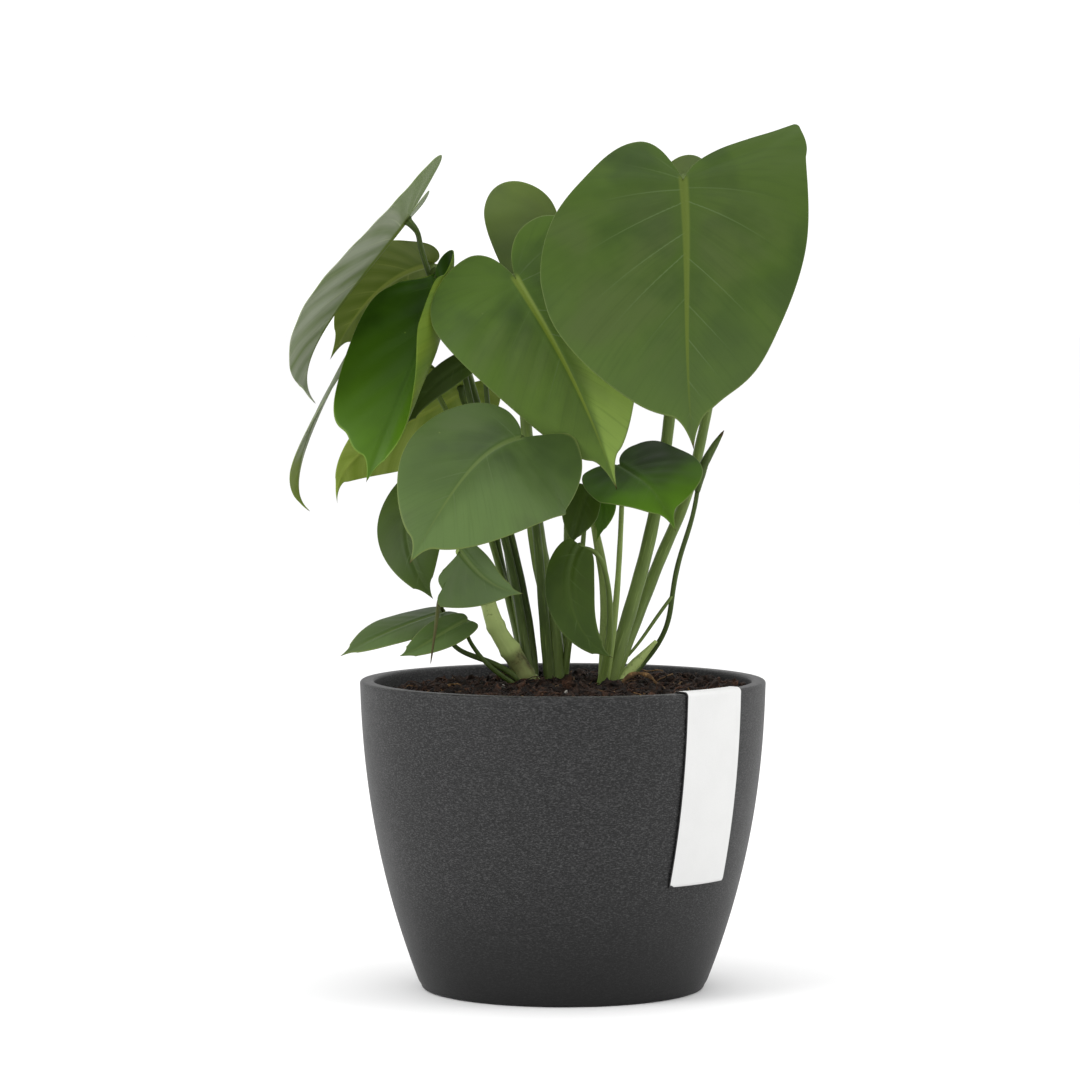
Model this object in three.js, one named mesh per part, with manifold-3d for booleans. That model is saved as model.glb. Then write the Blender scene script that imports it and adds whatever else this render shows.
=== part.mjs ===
// A young swiss cheese plant in a round tapering pot, in millimetres.
// +Z is up and -Y is the front. The origin is the centre of the pot's flat underside.
// Each leaf blade is a solid of its own, and the leaf stalks of one plantlet grow
// together at its crown, which stands in a plain hole in the soil.

import * as THREE from "three";
import { mergeVertices } from "three/addons/utils/BufferGeometryUtils.js";
import Module from "manifold-3d";

const wasm = await Module();
wasm.setup();

// Clearance between two pieces that lie against each other.
const GAP = 0.3;

const POT = {
  height: 152,
  rimRadius: 100,
  footRadius: 70,
  wall: 7,
  floor: 9,
  edge: 1.4,
  sides: 48,
  rows: 7,
};

// The wall leans in by lean at a steady rate and rounds in by belly, more and more downwards.
const WALL_LEAN = 4;
const WALL_BELLY = POT.rimRadius - POT.footRadius - WALL_LEAN;
const WALL_POWER = 2.2;

const SOIL = {
  level: 146,
  mound: 5,
  // How far the surface lies lower towards the back left, where the inner wall shows.
  dip: 7,
  dipTowards: [-0.66, 0.75],
  // Low waves, which make its lumps: how high they are, and how fast they turn along x and y.
  waves: [
    { height: 0.9, x: 0.21, y: 0.17, start: 1.3 },
    { height: 0.55, x: -0.27, y: 0.39, start: 0 },
  ],
  rings: 6,
  sides: 36,
  // Height of the last band of the soil's side, below the surface.
  band: 3,
};

const TAG = {
  width: 39.5,
  drop: 94,
  tuck: 11,
  thickness: 0.7,
  // Where the tag's middle is round the pot, in degrees from the front to the right.
  angle: 47,
  columns: 6,
  rows: 7,
  // Room for it in the soil: to each side, and past its edges.
  room: 1,
  rise: 0.5,
};

const BLADE = {
  thickness: 0.8,
  // Depth of the midrib's keel under the blade, at the stalk.
  keel: 0.9,
  // A blade longer than large takes the greater count.
  large: 60,
  rows: [10, 15],
  columns: [2, 3],
  // Rows lie closer together near the notch by this power.
  rowPower: 2.2,
};

const STALK = {
  sides: 7,
  step: 19,
  // How far the stalk's last stretch stands straight under the blade.
  joint: 6,
};

// A crown is narrower at its foot and at its top by these shares of its radius, and reaches its
// full radius at a share of its depth.
const CROWN = { depth: 26, radius: 8.5, top: 8, sides: 12, footShare: 0.7, topShare: 0.55, fullAt: 0.4 };

const FINISHES = {
  pot: { color: 0x3a3b3c, roughness: 0.85 },
  soil: { color: 0x2a1c14, roughness: 1 },
  tag: { color: 0xf2f2f0, roughness: 0.6 },
  leaf: { color: 0x3c5a26, roughness: 0.45 },
  stalk: { color: 0x5d7a38, roughness: 0.5 },
  rolled: { color: 0x4c6a2c, roughness: 0.5 },
  dry: { color: 0x5a4526, roughness: 0.7 },
};

const vector = ([x, y, z]) => new THREE.Vector3(x, y, z);
const radians = THREE.MathUtils.degToRad;

// Leaf blades. spine holds four points on the midrib, from the notch where the stalk joins
// to the tip. face is the way the upper side looks, at the notch and at the tip. neck is the
// half width where the drip tip begins, and drip is how far that is from the end. left and
// right are the two halves, seen from the upper side with the tip down:
//   width   greatest half width
//   widest  where that is, as a share of the length
//   lobe    how far the lobe reaches back behind the notch, less than 0 for none
//   lobeAt  how far out the lobe's crest is, as a share of the half width
//   crown   1 for a round lobe, less for a straighter way up to its crest
//   full    how long the side stays wide towards the tip
//   pinch   how blunt the blade is where the drip tip begins
//   fold    angle of the half above the plane across the midrib, in degrees
//   furl    how much that angle grows from the notch to the tip, in degrees
//   curl    how much it grows from the midrib to the edge, in degrees
//   columns faces from the midrib to the edge, if the usual few are too coarse for its curl
const HALF = { widest: 0.2, lobeAt: 0.45, crown: 1, full: 0.45, pinch: 0.3, fold: 4, furl: 0, curl: -12 };

const LEAVES = [
  {
    name: "leaf_tall_right",
    spine: [[58, -30, 397], [59, -52, 357], [59, -66, 315], [62, -70, 268]],
    face: [[0, -0.9, 0.4], [0.05, -1, 0.1]],
    neck: 9,
    drip: 15.5,
    left: { width: 71, widest: 0.4, lobe: 23, lobeAt: 0.3, full: 0.42, pinch: 0.5, fold: 2 },
    right: { width: 63, widest: -0.06, lobe: 29, lobeAt: 0.88, crown: 0.6, full: 0.58, pinch: 0.5, fold: 2 },
  },
  {
    name: "leaf_right_back",
    spine: [[75, 44, 400], [78, 54, 379], [80, 56, 357], [82, 52, 336]],
    face: [[0, -0.9, 0.4], [0, -1, 0.1]],
    neck: 5.5,
    drip: 11.5,
    left: { width: 34, lobe: 19 },
    right: { width: 32, lobe: 6 },
  },
  {
    name: "leaf_back_centre",
    spine: [[-2, 45, 378], [-3, 54, 354], [-4, 54, 328], [-6, 48, 302]],
    face: [[0, -0.8, 0.6], [0, -1, 0]],
    neck: 5.5,
    drip: 11.5,
    left: { width: 38, widest: 0, lobe: 18, lobeAt: 0.5, full: 0.2, pinch: 0.1 },
    right: { width: 34, widest: 0.1, lobe: 16 },
  },
  {
    name: "leaf_centre_tall",
    spine: [[-23, -16, 349], [-8, -28, 324], [9, -36, 291], [26, -40, 247]],
    face: [[-0.1, -0.9, 0.45], [0.1, -1, 0.1]],
    neck: 7,
    drip: 13.5,
    left: { width: 47, widest: 0.02, lobe: 23, lobeAt: 0.33, full: 0.3, pinch: 0.6, fold: 0 },
    right: { width: 49, widest: 0.14, lobe: 26, lobeAt: 0.5, full: 0.5, pinch: 0.3, fold: 2 },
  },
  {
    name: "leaf_left_top",
    spine: [[-77, 5, 378], [-103, 0, 345], [-123, -6, 313], [-121, -8, 288]],
    face: [[-0.75, 0.13, 0.6], [-0.9, 0.25, 0.2]],
    neck: 6,
    drip: 14.5,
    left: { width: 38, widest: 0.15, lobe: 19, lobeAt: 0.5, fold: 4, furl: 50 },
    right: { width: 45, widest: 0.18, lobe: 38, lobeAt: 0.45, full: 0.5, fold: 6 },
  },
  {
    name: "leaf_left_arched",
    spine: [[-66, 62, 356], [-86, 70, 348], [-103, 70, 332], [-117, 62, 308]],
    face: [[0.1, 0.55, 0.85], [-0.4, 0.8, 0.3]],
    neck: 5.5,
    drip: 11.5,
    left: { width: 28, lobe: 10 },
    right: { width: 28, lobe: 10 },
  },
  {
    name: "leaf_left_front",
    spine: [[-63, 14, 352], [-68, 6, 322], [-77, -10, 289], [-96, -20, 251]],
    face: [[-0.15, -0.95, 0.25], [-0.2, -0.95, 0.1]],
    neck: 6,
    drip: 16,
    left: { width: 40, widest: 0.5, lobe: -6, lobeAt: 0.4, full: 0.95, pinch: 0.8, fold: 0, curl: -10 },
    right: {
      width: 33, widest: 0.36, lobe: 10, lobeAt: 0.55, full: 0.25, pinch: 0.1, fold: 0, curl: 175, columns: 8,
    },
  },
  {
    name: "leaf_left_edge",
    spine: [[-97, 34, 329], [-114, 28, 299], [-130, 22, 261], [-125, 16, 234]],
    face: [[-0.88, 0, 0.45], [-0.85, 0.4, 0]],
    neck: 4,
    drip: 10.5,
    left: { width: 14, widest: 0.4, lobe: 5, fold: 8 },
    right: { width: 14, widest: 0.4, lobe: 5, fold: 8 },
  },
  {
    name: "leaf_inner_dark",
    spine: [[-41, 1, 311], [-54, 8, 304], [-68, 17, 292], [-81, 15, 273]],
    face: [[-0.2, -0.95, 0.2], [-0.2, -0.95, 0.2]],
    neck: 4,
    drip: 8.5,
    left: { width: 7, widest: 0.4, lobe: 3 },
    right: { width: 7, widest: 0.4, lobe: 3 },
  },
  {
    name: "leaf_left_under",
    spine: [[-50, 50, 294], [-66, 58, 277], [-90, 60, 260], [-113, 52, 236]],
    face: [[0.2, 0.9, 0.4], [-0.1, 1, 0.1]],
    neck: 5.5,
    drip: 14.5,
    left: { width: 28, widest: 0.35, lobe: 10, fold: 2, curl: -6 },
    right: { width: 40, widest: 0.45, lobe: 10, full: 0.5, pinch: 0.5, fold: 2, curl: -6 },
  },
  {
    name: "leaf_front_centre",
    spine: [[-21, -55, 273], [-39, -73, 264], [-55, -89, 245], [-73, -97, 215]],
    face: [[-0.1, -0.85, 0.5], [-0.1, -0.95, 0.2]],
    neck: 7,
    drip: 9.5,
    left: { width: 37, widest: 0.32, lobe: 6, lobeAt: 0.45, full: 0.5, pinch: 0.5, fold: -4 },
    right: { width: 47, widest: 0.18, lobe: 30, lobeAt: 0.22, full: 0.5, pinch: 0.6, fold: -2 },
  },
  {
    name: "leaf_left_low",
    spine: [[-66, -10, 250], [-76, -22, 232], [-73, -32, 212], [-63, -36, 194]],
    face: [[-0.5, -0.8, 0.3], [-0.1, -0.95, 0.2]],
    neck: 5.5,
    drip: 10.5,
    left: { width: 16, widest: 0.35, lobe: 6 },
    right: { width: 20, widest: 0.35, lobe: 6, full: 0.55 },
  },
  {
    name: "leaf_front_small",
    spine: [[-50, -44, 218], [-42, -51, 209], [-32, -59, 202], [-19, -68, 199]],
    face: [[-0.4, -0.75, 0.3], [-0.46, -0.85, 0.17]],
    neck: 4,
    drip: 8.5,
    left: { width: 25, widest: 0.29, lobe: -2, lobeAt: 0.5, full: 0.05, pinch: 0.1 },
    right: { width: 9, widest: 0.3, lobe: 4 },
  },
  {
    name: "leaf_low_left",
    spine: [[-58, -10, 186], [-76, -26, 181], [-92, -38, 175], [-108, -44, 167]],
    face: [[-0.2, -0.4, 0.9], [-0.3, -0.6, 0.7]],
    neck: 4,
    drip: 8.5,
    left: { width: 15, widest: 0.35, lobe: 3 },
    right: { width: 15, widest: 0.35, lobe: 3 },
  },
  {
    name: "leaf_low_near",
    spine: [[-47, -29, 183], [-58, -39, 178], [-69, -48, 172], [-79, -55, 168]],
    face: [[-0.1, -0.7, 0.7], [-0.2, -0.8, 0.5]],
    neck: 4,
    drip: 8.5,
    left: { width: 10, widest: 0.3, lobe: 3 },
    right: { width: 10, widest: 0.3, lobe: 3 },
  },
  {
    name: "leaf_right_small",
    spine: [[28, -18, 258], [38, -34, 252], [46, -48, 244], [54, -58, 228]],
    face: [[0.1, -0.8, 0.6], [0.1, -0.9, 0.4]],
    neck: 5.5,
    drip: 10.5,
    left: { width: 20, widest: 0, lobe: 9, lobeAt: 0.6, full: 0.2, pinch: 0.25 },
    right: { width: 30, widest: 0.33, lobe: 5, lobeAt: 0.55, full: 0.6, pinch: 0.6 },
  },
  {
    name: "leaf_hanging",
    spine: [[8, -40, 220], [3, -48, 202], [8, -53, 182], [24, -54, 167]],
    face: [[0, -1, 0.2], [0, -1, 0.1]],
    neck: 4,
    drip: 8.5,
    left: { width: 12, widest: 0.35, lobe: 1, full: 0.5 },
    right: { width: 12, widest: 0.35, lobe: 1, full: 0.5 },
  },
  {
    name: "leaf_inner_small",
    spine: [[12, -14, 246], [9, -18, 238], [6, -22, 228], [4, -24, 219]],
    face: [[0, -1, 0.3], [0, -1, 0.1]],
    neck: 3,
    drip: 6.5,
    left: { width: 9, widest: 0.4, lobe: 2 },
    right: { width: 9, widest: 0.4, lobe: 2 },
  },
  {
    name: "leaf_inner_back",
    spine: [[15, 6, 248], [18, 4, 240], [19, 3, 231], [16, 4, 219]],
    face: [[0.2, -1, 0.2], [0.1, -1, 0]],
    neck: 3,
    drip: 6.5,
    left: { width: 8, widest: 0.4, lobe: 2 },
    right: { width: 8, widest: 0.4, lobe: 2 },
  },
];

// Plantlets. crown is the middle of the crown at the soil. Each stalk runs through its points
// from the crown outwards, with its radii spread evenly along it, and ends under the named
// leaf's notch, or where its last point is.
const PLANTLETS = [
  {
    name: "stalks_right",
    crown: [22, -10],
    stalks: [
      {
        to: "leaf_tall_right",
        radii: [4.2, 3.2, 2.6, 1.9],
        points: [[22, -12, 149], [25, -12, 160], [33, -8, 187], [40, -2, 211], [46, 2, 238],
          [52, 4, 277], [55, 2, 319], [57, -8, 363]],
      },
      {
        to: "leaf_right_back",
        radii: [3.6, 2.8, 2.2, 1.6],
        points: [[23, -6, 148], [29, -4, 164], [38, 4, 186], [49, 12, 213], [61, 20, 240],
          [69, 32, 269], [76, 50, 305], [78, 62, 340], [77, 58, 372]],
      },
      {
        to: "leaf_right_small",
        radii: [2, 1.4, 1.1],
        points: [[20, -16, 149], [23, -18, 166], [26, -16, 192], [28, -12, 222], [29, -6, 244]],
      },
      {
        to: "leaf_hanging",
        radii: [2.2, 1.4, 1],
        points: [[18, -18, 149], [22, -26, 169], [23, -30, 188], [21, -34, 206], [17, -36, 218],
          [13, -36, 221]],
      },
      {
        to: "leaf_inner_back",
        radii: [3.4, 3, 2.2, 1],
        points: [[20, -6, 147], [21, 0, 171], [21, 4, 196], [18, 6, 215], [15, 8, 230]],
      },
      {
        radii: [1.6, 1.3, 1.3, 1.1],
        points: [[24, -4, 146], [38, 8, 157], [46, 8, 167], [52, 6, 178], [54, 4, 195], [57, 2, 211],
          [62, 0, 226], [65, -1, 237], [66, -2, 245]],
      },
      { radii: [0.9, 0.9, 0.7], points: [[54, 4, 193], [45, 2, 181], [37, 0, 169]] },
      { radii: [3, 2.6, 0.9], points: [[26, -4, 150], [36, 0, 160], [46, 1, 171]] },
    ],
  },
  {
    name: "stalks_centre",
    crown: [-3, 8],
    stalks: [
      {
        to: "leaf_centre_tall",
        radii: [5.2, 4.4, 2.6, 1.7],
        points: [[-3, 6, 146], [-4, 6, 166], [-7, 6, 191], [-12, 6, 215], [-16, 6, 250], [-19, 8, 289],
          [-22, 8, 324]],
      },
      {
        to: "leaf_back_centre",
        radii: [3, 2.4, 1.9, 1.4],
        points: [[-1, 12, 146], [0, 16, 165], [2, 20, 190], [3, 30, 219], [2, 42, 264], [0, 58, 305],
          [-2, 66, 335], [-2, 59, 362]],
      },
      {
        to: "leaf_front_centre",
        radii: [3, 2.4, 1.8, 1.4],
        points: [[-6, 2, 147], [-8, 0, 167], [-10, -4, 191], [-12, -8, 216], [-15, -18, 241],
          [-19, -31, 261]],
      },
      {
        to: "leaf_inner_small",
        radii: [2, 1.4, 1],
        points: [[0, 6, 146], [3, 4, 171], [7, 0, 196], [10, -4, 221]],
      },
    ],
  },
  {
    name: "stalks_left",
    crown: [-16, -6],
    stalks: [
      {
        to: "leaf_left_top",
        radii: [2.8, 2.2, 1.6, 1.3],
        points: [[-14, 0, 147], [-16, 6, 171], [-21, 10, 200], [-28, 14, 230], [-36, 20, 264],
          [-46, 26, 299], [-58, 28, 329], [-66, 24, 351], [-71, 18, 366]],
      },
      {
        to: "leaf_left_front",
        radii: [2.6, 2, 1.6, 1.3],
        points: [[-16, -4, 147], [-19, 0, 171], [-24, 6, 201], [-31, 10, 230], [-40, 14, 265],
          [-46, 15, 290], [-50, 18, 308], [-55, 20, 326], [-60, 21, 341]],
      },
      {
        to: "leaf_left_arched",
        radii: [2.4, 1.8, 1.5, 1.3],
        points: [[-15, 0, 147], [-20, 10, 171], [-26, 20, 205], [-32, 28, 239], [-40, 36, 278],
          [-52, 46, 318], [-62, 56, 340]],
      },
      {
        to: "leaf_left_low",
        radii: [5.6, 4.2, 2, 1.2],
        points: [[-16, -6, 148], [-24, -8, 165], [-33, -8, 177], [-37, -8, 192], [-43, -6, 209],
          [-52, -4, 228], [-60, -4, 242]],
      },
      {
        to: "leaf_front_small",
        radii: [1.8, 1.4, 1.1],
        points: [[-37, -8, 191], [-40, -16, 201], [-45, -26, 209]],
      },
      {
        to: "leaf_low_left",
        radii: [1.8, 1.3, 1],
        points: [[-19, -10, 151], [-31, -12, 160], [-46, -12, 165], [-53, -10, 167], [-57, -6, 172]],
      },
      {
        to: "leaf_low_near",
        radii: [1.4, 1.1, 0.9],
        points: [[-20, -11, 148], [-39, -18, 162], [-44, -18, 170]],
      },
      {
        to: "leaf_left_under",
        radii: [2.2, 1.8, 1.3],
        points: [[-16, 2, 147], [-23, 14, 175], [-31, 26, 209], [-37, 36, 244], [-44, 42, 274],
          [-49, 42, 287]],
      },
      {
        to: "leaf_inner_dark",
        radii: [2, 1.5, 1.1],
        points: [[-16, 0, 147], [-21, 10, 181], [-27, 14, 210], [-32, 16, 249], [-37, 16, 284]],
      },
      {
        radii: [2, 1.6, 1.1],
        points: [[-16, 0, 147], [-20, 8, 176], [-26, 14, 210], [-31, 16, 232]],
      },
      {
        to: "leaf_left_edge",
        radii: [2, 1.5, 1.1],
        points: [[-16, 2, 147], [-24, 14, 180], [-34, 26, 214], [-46, 34, 254], [-61, 44, 289],
          [-73, 46, 307], [-84, 42, 319]],
      },
    ],
  },
];

// Leaves still rolled up: round solids along a line, with a pointed end.
const ROLLED = [
  {
    name: "leaf_rolled_right",
    finish: FINISHES.rolled,
    radii: [1.3, 2.4, 2.2, 1.6, 0.4],
    points: [[66, -2, 245.4], [68, -2, 255], [73, -3, 265], [79, -4, 275]],
  },
  {
    name: "leaf_rolled_low",
    finish: FINISHES.dry,
    radii: [0.9, 1.2, 0.9, 0.3],
    points: [[-59, -13, 187], [-60, -32, 193], [-61, -50, 186], [-64, -56, 164]],
  },
];

// Geometry helpers.

function solidOf(geometry) {
  const bare = geometry.index ? geometry.toNonIndexed() : geometry.clone();
  bare.deleteAttribute("normal");
  bare.deleteAttribute("uv");
  const merged = mergeVertices(bare, 1e-4);
  return new wasm.Manifold(
    new wasm.Mesh({
      numProp: 3,
      vertProperties: new Float32Array(merged.attributes.position.array),
      triVerts: new Uint32Array(merged.index.array),
    }),
  );
}

function geometryOf(solid) {
  const mesh = solid.getMesh();
  const geometry = new THREE.BufferGeometry();
  geometry.setAttribute("position", new THREE.BufferAttribute(mesh.vertProperties, 3));
  geometry.setIndex(new THREE.BufferAttribute(mesh.triVerts, 1));
  geometry.computeVertexNormals();
  return geometry;
}

function indexedGeometry(points, triangles) {
  const geometry = new THREE.BufferGeometry().setFromPoints(points);
  geometry.setIndex(triangles.flat());
  geometry.computeVertexNormals();
  return geometry;
}

// One point on a cubic Bezier curve in the flat blade's plane.
function bezier(a, b, c, d, t) {
  const s = 1 - t;
  const mix = (p, q, r, w) => s * s * s * p + 3 * s * s * t * q + 3 * s * t * t * r + t * t * t * w;
  return [mix(a[0], b[0], c[0], d[0]), mix(a[1], b[1], c[1], d[1])];
}

// The outline of one half of a flat blade: round the lobe, down the side, in to the neck
// and along the drip tip. t runs from 0 at the notch to 1 at the tip, and the shares say
// where each curve ends.
const OUTLINE_SHARES = [0.2, 0.46, 0.9, 1];

function outlinePoint(half, leaf, t) {
  const { length } = leaf;
  const crest = [half.lobeAt * half.width, -half.lobe];
  const side = [half.width, half.widest * length];
  const neck = [leaf.neck, length - leaf.drip];
  const tip = [0, length];
  const reach = side[1] - crest[1];
  const blunt = half.pinch * side[0];
  const shoulder = [blunt, neck[1] - 0.3 * (blunt - neck[0])];
  const pieces = [
    [[0, 0], [0.1 * crest[0], 0.65 * crest[1]], [0.5 * crest[0], half.crown * crest[1]], crest],
    [crest, [(crest[0] + side[0]) / 2, crest[1]], [side[0], side[1] - 0.55 * reach], side],
    [side, [side[0], side[1] + half.full * (neck[1] - side[1])], shoulder, neck],
    [neck, [0.5 * neck[0], neck[1] + 0.13 * leaf.drip], [0.17 * neck[0], neck[1] + 0.55 * leaf.drip], tip],
  ];
  const k = OUTLINE_SHARES.findIndex((share) => t <= share + 1e-9);
  const start = k ? OUTLINE_SHARES[k - 1] : 0;
  return bezier(...pieces[k], Math.min((t - start) / (OUTLINE_SHARES[k] - start), 1));
}

// The midrib as a curve through four points.
function spineCurve(points) {
  const [a, b, c, d] = points.map(vector);
  const first = new THREE.Vector3().addScaledVector(a, -5).addScaledVector(b, 18);
  first.addScaledVector(c, -9).addScaledVector(d, 2).divideScalar(6);
  const second = new THREE.Vector3().addScaledVector(a, 2).addScaledVector(b, -9);
  second.addScaledVector(c, 18).addScaledVector(d, -5).divideScalar(6);
  return new THREE.CubicBezierCurve3(a, first, second, d);
}

// Where the blade's middle is at a share of its length, and which way it lies there.
function bladeFrame(leaf, share) {
  const at = leaf.curve.getPoint(share);
  const forward = leaf.curve.getTangent(share);
  const face = vector(leaf.face[0]).lerp(vector(leaf.face[1]), share);
  const up = face.addScaledVector(forward, -face.dot(forward)).normalize();
  const sideways = new THREE.Vector3().crossVectors(up, forward);
  return { at, forward, up, sideways };
}

// The place in space of the flat blade's point: across from the midrib and along it.
function bladePoint(leaf, half, across, along) {
  const share = THREE.MathUtils.clamp(along / leaf.length, 0, 1);
  const { at, forward, up, sideways } = bladeFrame(leaf, share);
  const fold = radians(half.fold + half.furl * share);
  const bend = radians(half.curl) / half.width;
  const reach = Math.abs(across);
  const out = (Math.sin(fold + bend * reach) - Math.sin(fold)) / bend;
  const rise = (Math.cos(fold) - Math.cos(fold + bend * reach)) / bend;
  at.addScaledVector(forward, Math.min(along, 0));
  return at.addScaledVector(sideways, Math.sign(across) * out).addScaledVector(up, rise);
}

// Gives a sheet of triangles its thickness: alike on both sides, with a rim round its loop.
// extra is what each point of the lower side is lowered by besides.
function thickened(middle, faces, loop, thickness, extra = () => 0) {
  const normals = indexedGeometry(middle, faces).getAttribute("normal");
  const count = middle.length;
  const points = [];
  for (const side of [1, -1])
    middle.forEach((point, i) => {
      const normal = new THREE.Vector3().fromBufferAttribute(normals, i);
      const depth = thickness / 2 + (side < 0 ? extra(i) : 0);
      points.push(point.clone().addScaledVector(normal, side * depth));
    });
  const triangles = [];
  for (const [a, b, c] of faces) triangles.push([a, b, c], [count + c, count + b, count + a]);
  loop.forEach((a, i) => {
    const b = loop[(i + 1) % loop.length];
    triangles.push([a, b, count + a], [b, count + b, count + a]);
  });
  return indexedGeometry(points, triangles);
}

// A leaf blade. Its rows run from the midrib out to the edge as the side veins do.
function bladeGeometry(leaf) {
  const size = leaf.length > BLADE.large ? 1 : 0;
  const rows = BLADE.rows[size];
  const rowRoot = (i) => leaf.length * Math.pow(i / rows, BLADE.rowPower);
  const middle = [];
  for (let i = 0; i <= rows; i++) middle.push(bladePoint(leaf, leaf.right, 0, rowRoot(i)));
  const faces = [];
  const edges = [];
  for (const [half, side] of [[leaf.right, 1], [leaf.left, -1]]) {
    const base = middle.length;
    const columns = half.columns ?? BLADE.columns[size];
    for (let i = 1; i < rows; i++) {
      const [reach, end] = outlinePoint(half, leaf, i / rows);
      for (let j = 1; j <= columns; j++) {
        const s = j / columns;
        const along = THREE.MathUtils.lerp(rowRoot(i), end, s);
        middle.push(bladePoint(leaf, half, side * reach * s, along));
      }
    }
    const index = (i, j) => (i % rows === 0 || j === 0 ? i : base + (i - 1) * columns + (j - 1));
    for (let i = 0; i < rows; i++)
      for (let j = 0; j < columns; j++) {
        const [a, b, c, d] = [index(i, j), index(i + 1, j), index(i + 1, j + 1), index(i, j + 1)];
        for (const face of [[a, b, c], [a, c, d]])
          if (new Set(face).size === 3) faces.push(side > 0 ? face : face.reverse());
      }
    edges.push(Array.from({ length: rows + 1 }, (_, i) => index(i, columns)));
  }
  const loop = [...edges[0], ...edges[1].slice(1, -1).reverse()];
  const keel = (i) => (i < rows ? BLADE.keel * (1 - i / rows) : 0);
  return thickened(middle, faces, loop, BLADE.thickness, keel);
}

// A closed solid from rings of points, all with the same count, and a point at each end.
// Seen from the end the rings start from, they turn clockwise.
function ringGeometry(first, rings, last) {
  const sides = rings[0].length;
  const points = [first, ...rings.flat(), last];
  const index = (k, i) => 1 + k * sides + (i % sides);
  const triangles = [];
  for (let i = 0; i < sides; i++) {
    triangles.push([0, index(0, i + 1), index(0, i)]);
    triangles.push([points.length - 1, index(rings.length - 1, i), index(rings.length - 1, i + 1)]);
    for (let k = 0; k + 1 < rings.length; k++) {
      triangles.push([index(k, i), index(k, i + 1), index(k + 1, i + 1)]);
      triangles.push([index(k, i), index(k + 1, i + 1), index(k + 1, i)]);
    }
  }
  return indexedGeometry(points, triangles);
}

// A round stalk along a smooth line through the points, its radii spread evenly along it.
function stalkGeometry(points, radii, grow = 0) {
  const path = new THREE.CatmullRomCurve3(points, false, "centripetal");
  const steps = Math.max(2, Math.round(path.getLength() / STALK.step), radii.length - 1);
  const frames = path.computeFrenetFrames(steps, false);
  const rings = [];
  for (let k = 0; k <= steps; k++) {
    const at = path.getPointAt(k / steps);
    const place = (k / steps) * (radii.length - 1);
    const low = Math.min(Math.floor(place), radii.length - 2);
    const radius = THREE.MathUtils.lerp(radii[low], radii[low + 1], place - low) + grow;
    const ring = [];
    for (let i = 0; i < STALK.sides; i++) {
      const turn = (2 * Math.PI * i) / STALK.sides;
      const spot = at.clone().addScaledVector(frames.normals[k], radius * Math.cos(turn));
      ring.push(spot.addScaledVector(frames.binormals[k], radius * Math.sin(turn)));
    }
    rings.push(ring);
  }
  return ringGeometry(path.getPointAt(0), rings, path.getPointAt(1));
}

// The stalk's own points, and the joint that brings it straight up under its leaf's notch.
function stalkPoints(stalk) {
  const points = stalk.points.map(vector);
  if (!stalk.to) return points;
  const leaf = LEAVES.find(({ name }) => name === stalk.to);
  const { at, up } = bladeFrame(leaf, 0);
  const under = BLADE.thickness / 2 + BLADE.keel + GAP;
  points.push(at.clone().addScaledVector(up, -under - STALK.joint));
  points.push(at.clone().addScaledVector(up, -under));
  return points;
}

// A vertical round solid: pairs of radius and height, from the bottom up.
function turnedGeometry([x, y], profile, sides) {
  const rings = profile.map(([radius, z]) =>
    Array.from({ length: sides }, (_, i) => {
      const turn = (2 * Math.PI * i) / sides;
      return new THREE.Vector3(x + radius * Math.cos(turn), y + radius * Math.sin(turn), z);
    }),
  );
  const ends = [profile[0][1], profile.at(-1)[1]].map((z) => new THREE.Vector3(x, y, z));
  return ringGeometry(ends[0], rings, ends[1]);
}

// One plantlet: its crown and all its stalks in one solid, larger all round by grow.
function plantletSolid(plantlet, grow = 0) {
  const foot = SOIL.level - CROWN.depth - grow;
  const profile = [
    [CROWN.footShare * CROWN.radius + grow, foot],
    [CROWN.radius + grow, foot + CROWN.fullAt * CROWN.depth],
    [CROWN.radius + grow, SOIL.level],
    [CROWN.topShare * CROWN.radius + grow, SOIL.level + CROWN.top + grow],
  ];
  let solid = solidOf(turnedGeometry(plantlet.crown, profile, CROWN.sides));
  for (const stalk of plantlet.stalks)
    solid = solid.add(solidOf(stalkGeometry(stalkPoints(stalk), stalk.radii, grow)));
  return solid;
}

// The pot's outer radius at a height.
function potRadius(z) {
  const down = Math.max(0, 1 - z / POT.height);
  return POT.rimRadius - WALL_LEAN * down - WALL_BELLY * Math.pow(down, WALL_POWER);
}

// The inner wall's radius at a height, at the middle of its flats.
function innerRadius(z) {
  return (potRadius(z) - POT.wall) * Math.cos(Math.PI / POT.sides);
}

function potGeometry() {
  const { height, wall, floor, edge, rows, sides } = POT;
  const profile = [new THREE.Vector2(0, 0), new THREE.Vector2(potRadius(0) - edge, 0)];
  for (let i = 0; i <= rows; i++) {
    const z = edge + (height - 2 * edge) * (i / rows);
    profile.push(new THREE.Vector2(potRadius(z), z));
  }
  profile.push(new THREE.Vector2(potRadius(height) - edge, height));
  profile.push(new THREE.Vector2(potRadius(height) - wall + edge, height));
  for (let i = rows; i >= 0; i--) {
    const z = floor + (height - edge - floor) * (i / rows);
    profile.push(new THREE.Vector2(potRadius(z) - wall, z));
  }
  profile.push(new THREE.Vector2(0, floor));
  return new THREE.LatheGeometry(profile, sides).rotateX(Math.PI / 2);
}

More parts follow.
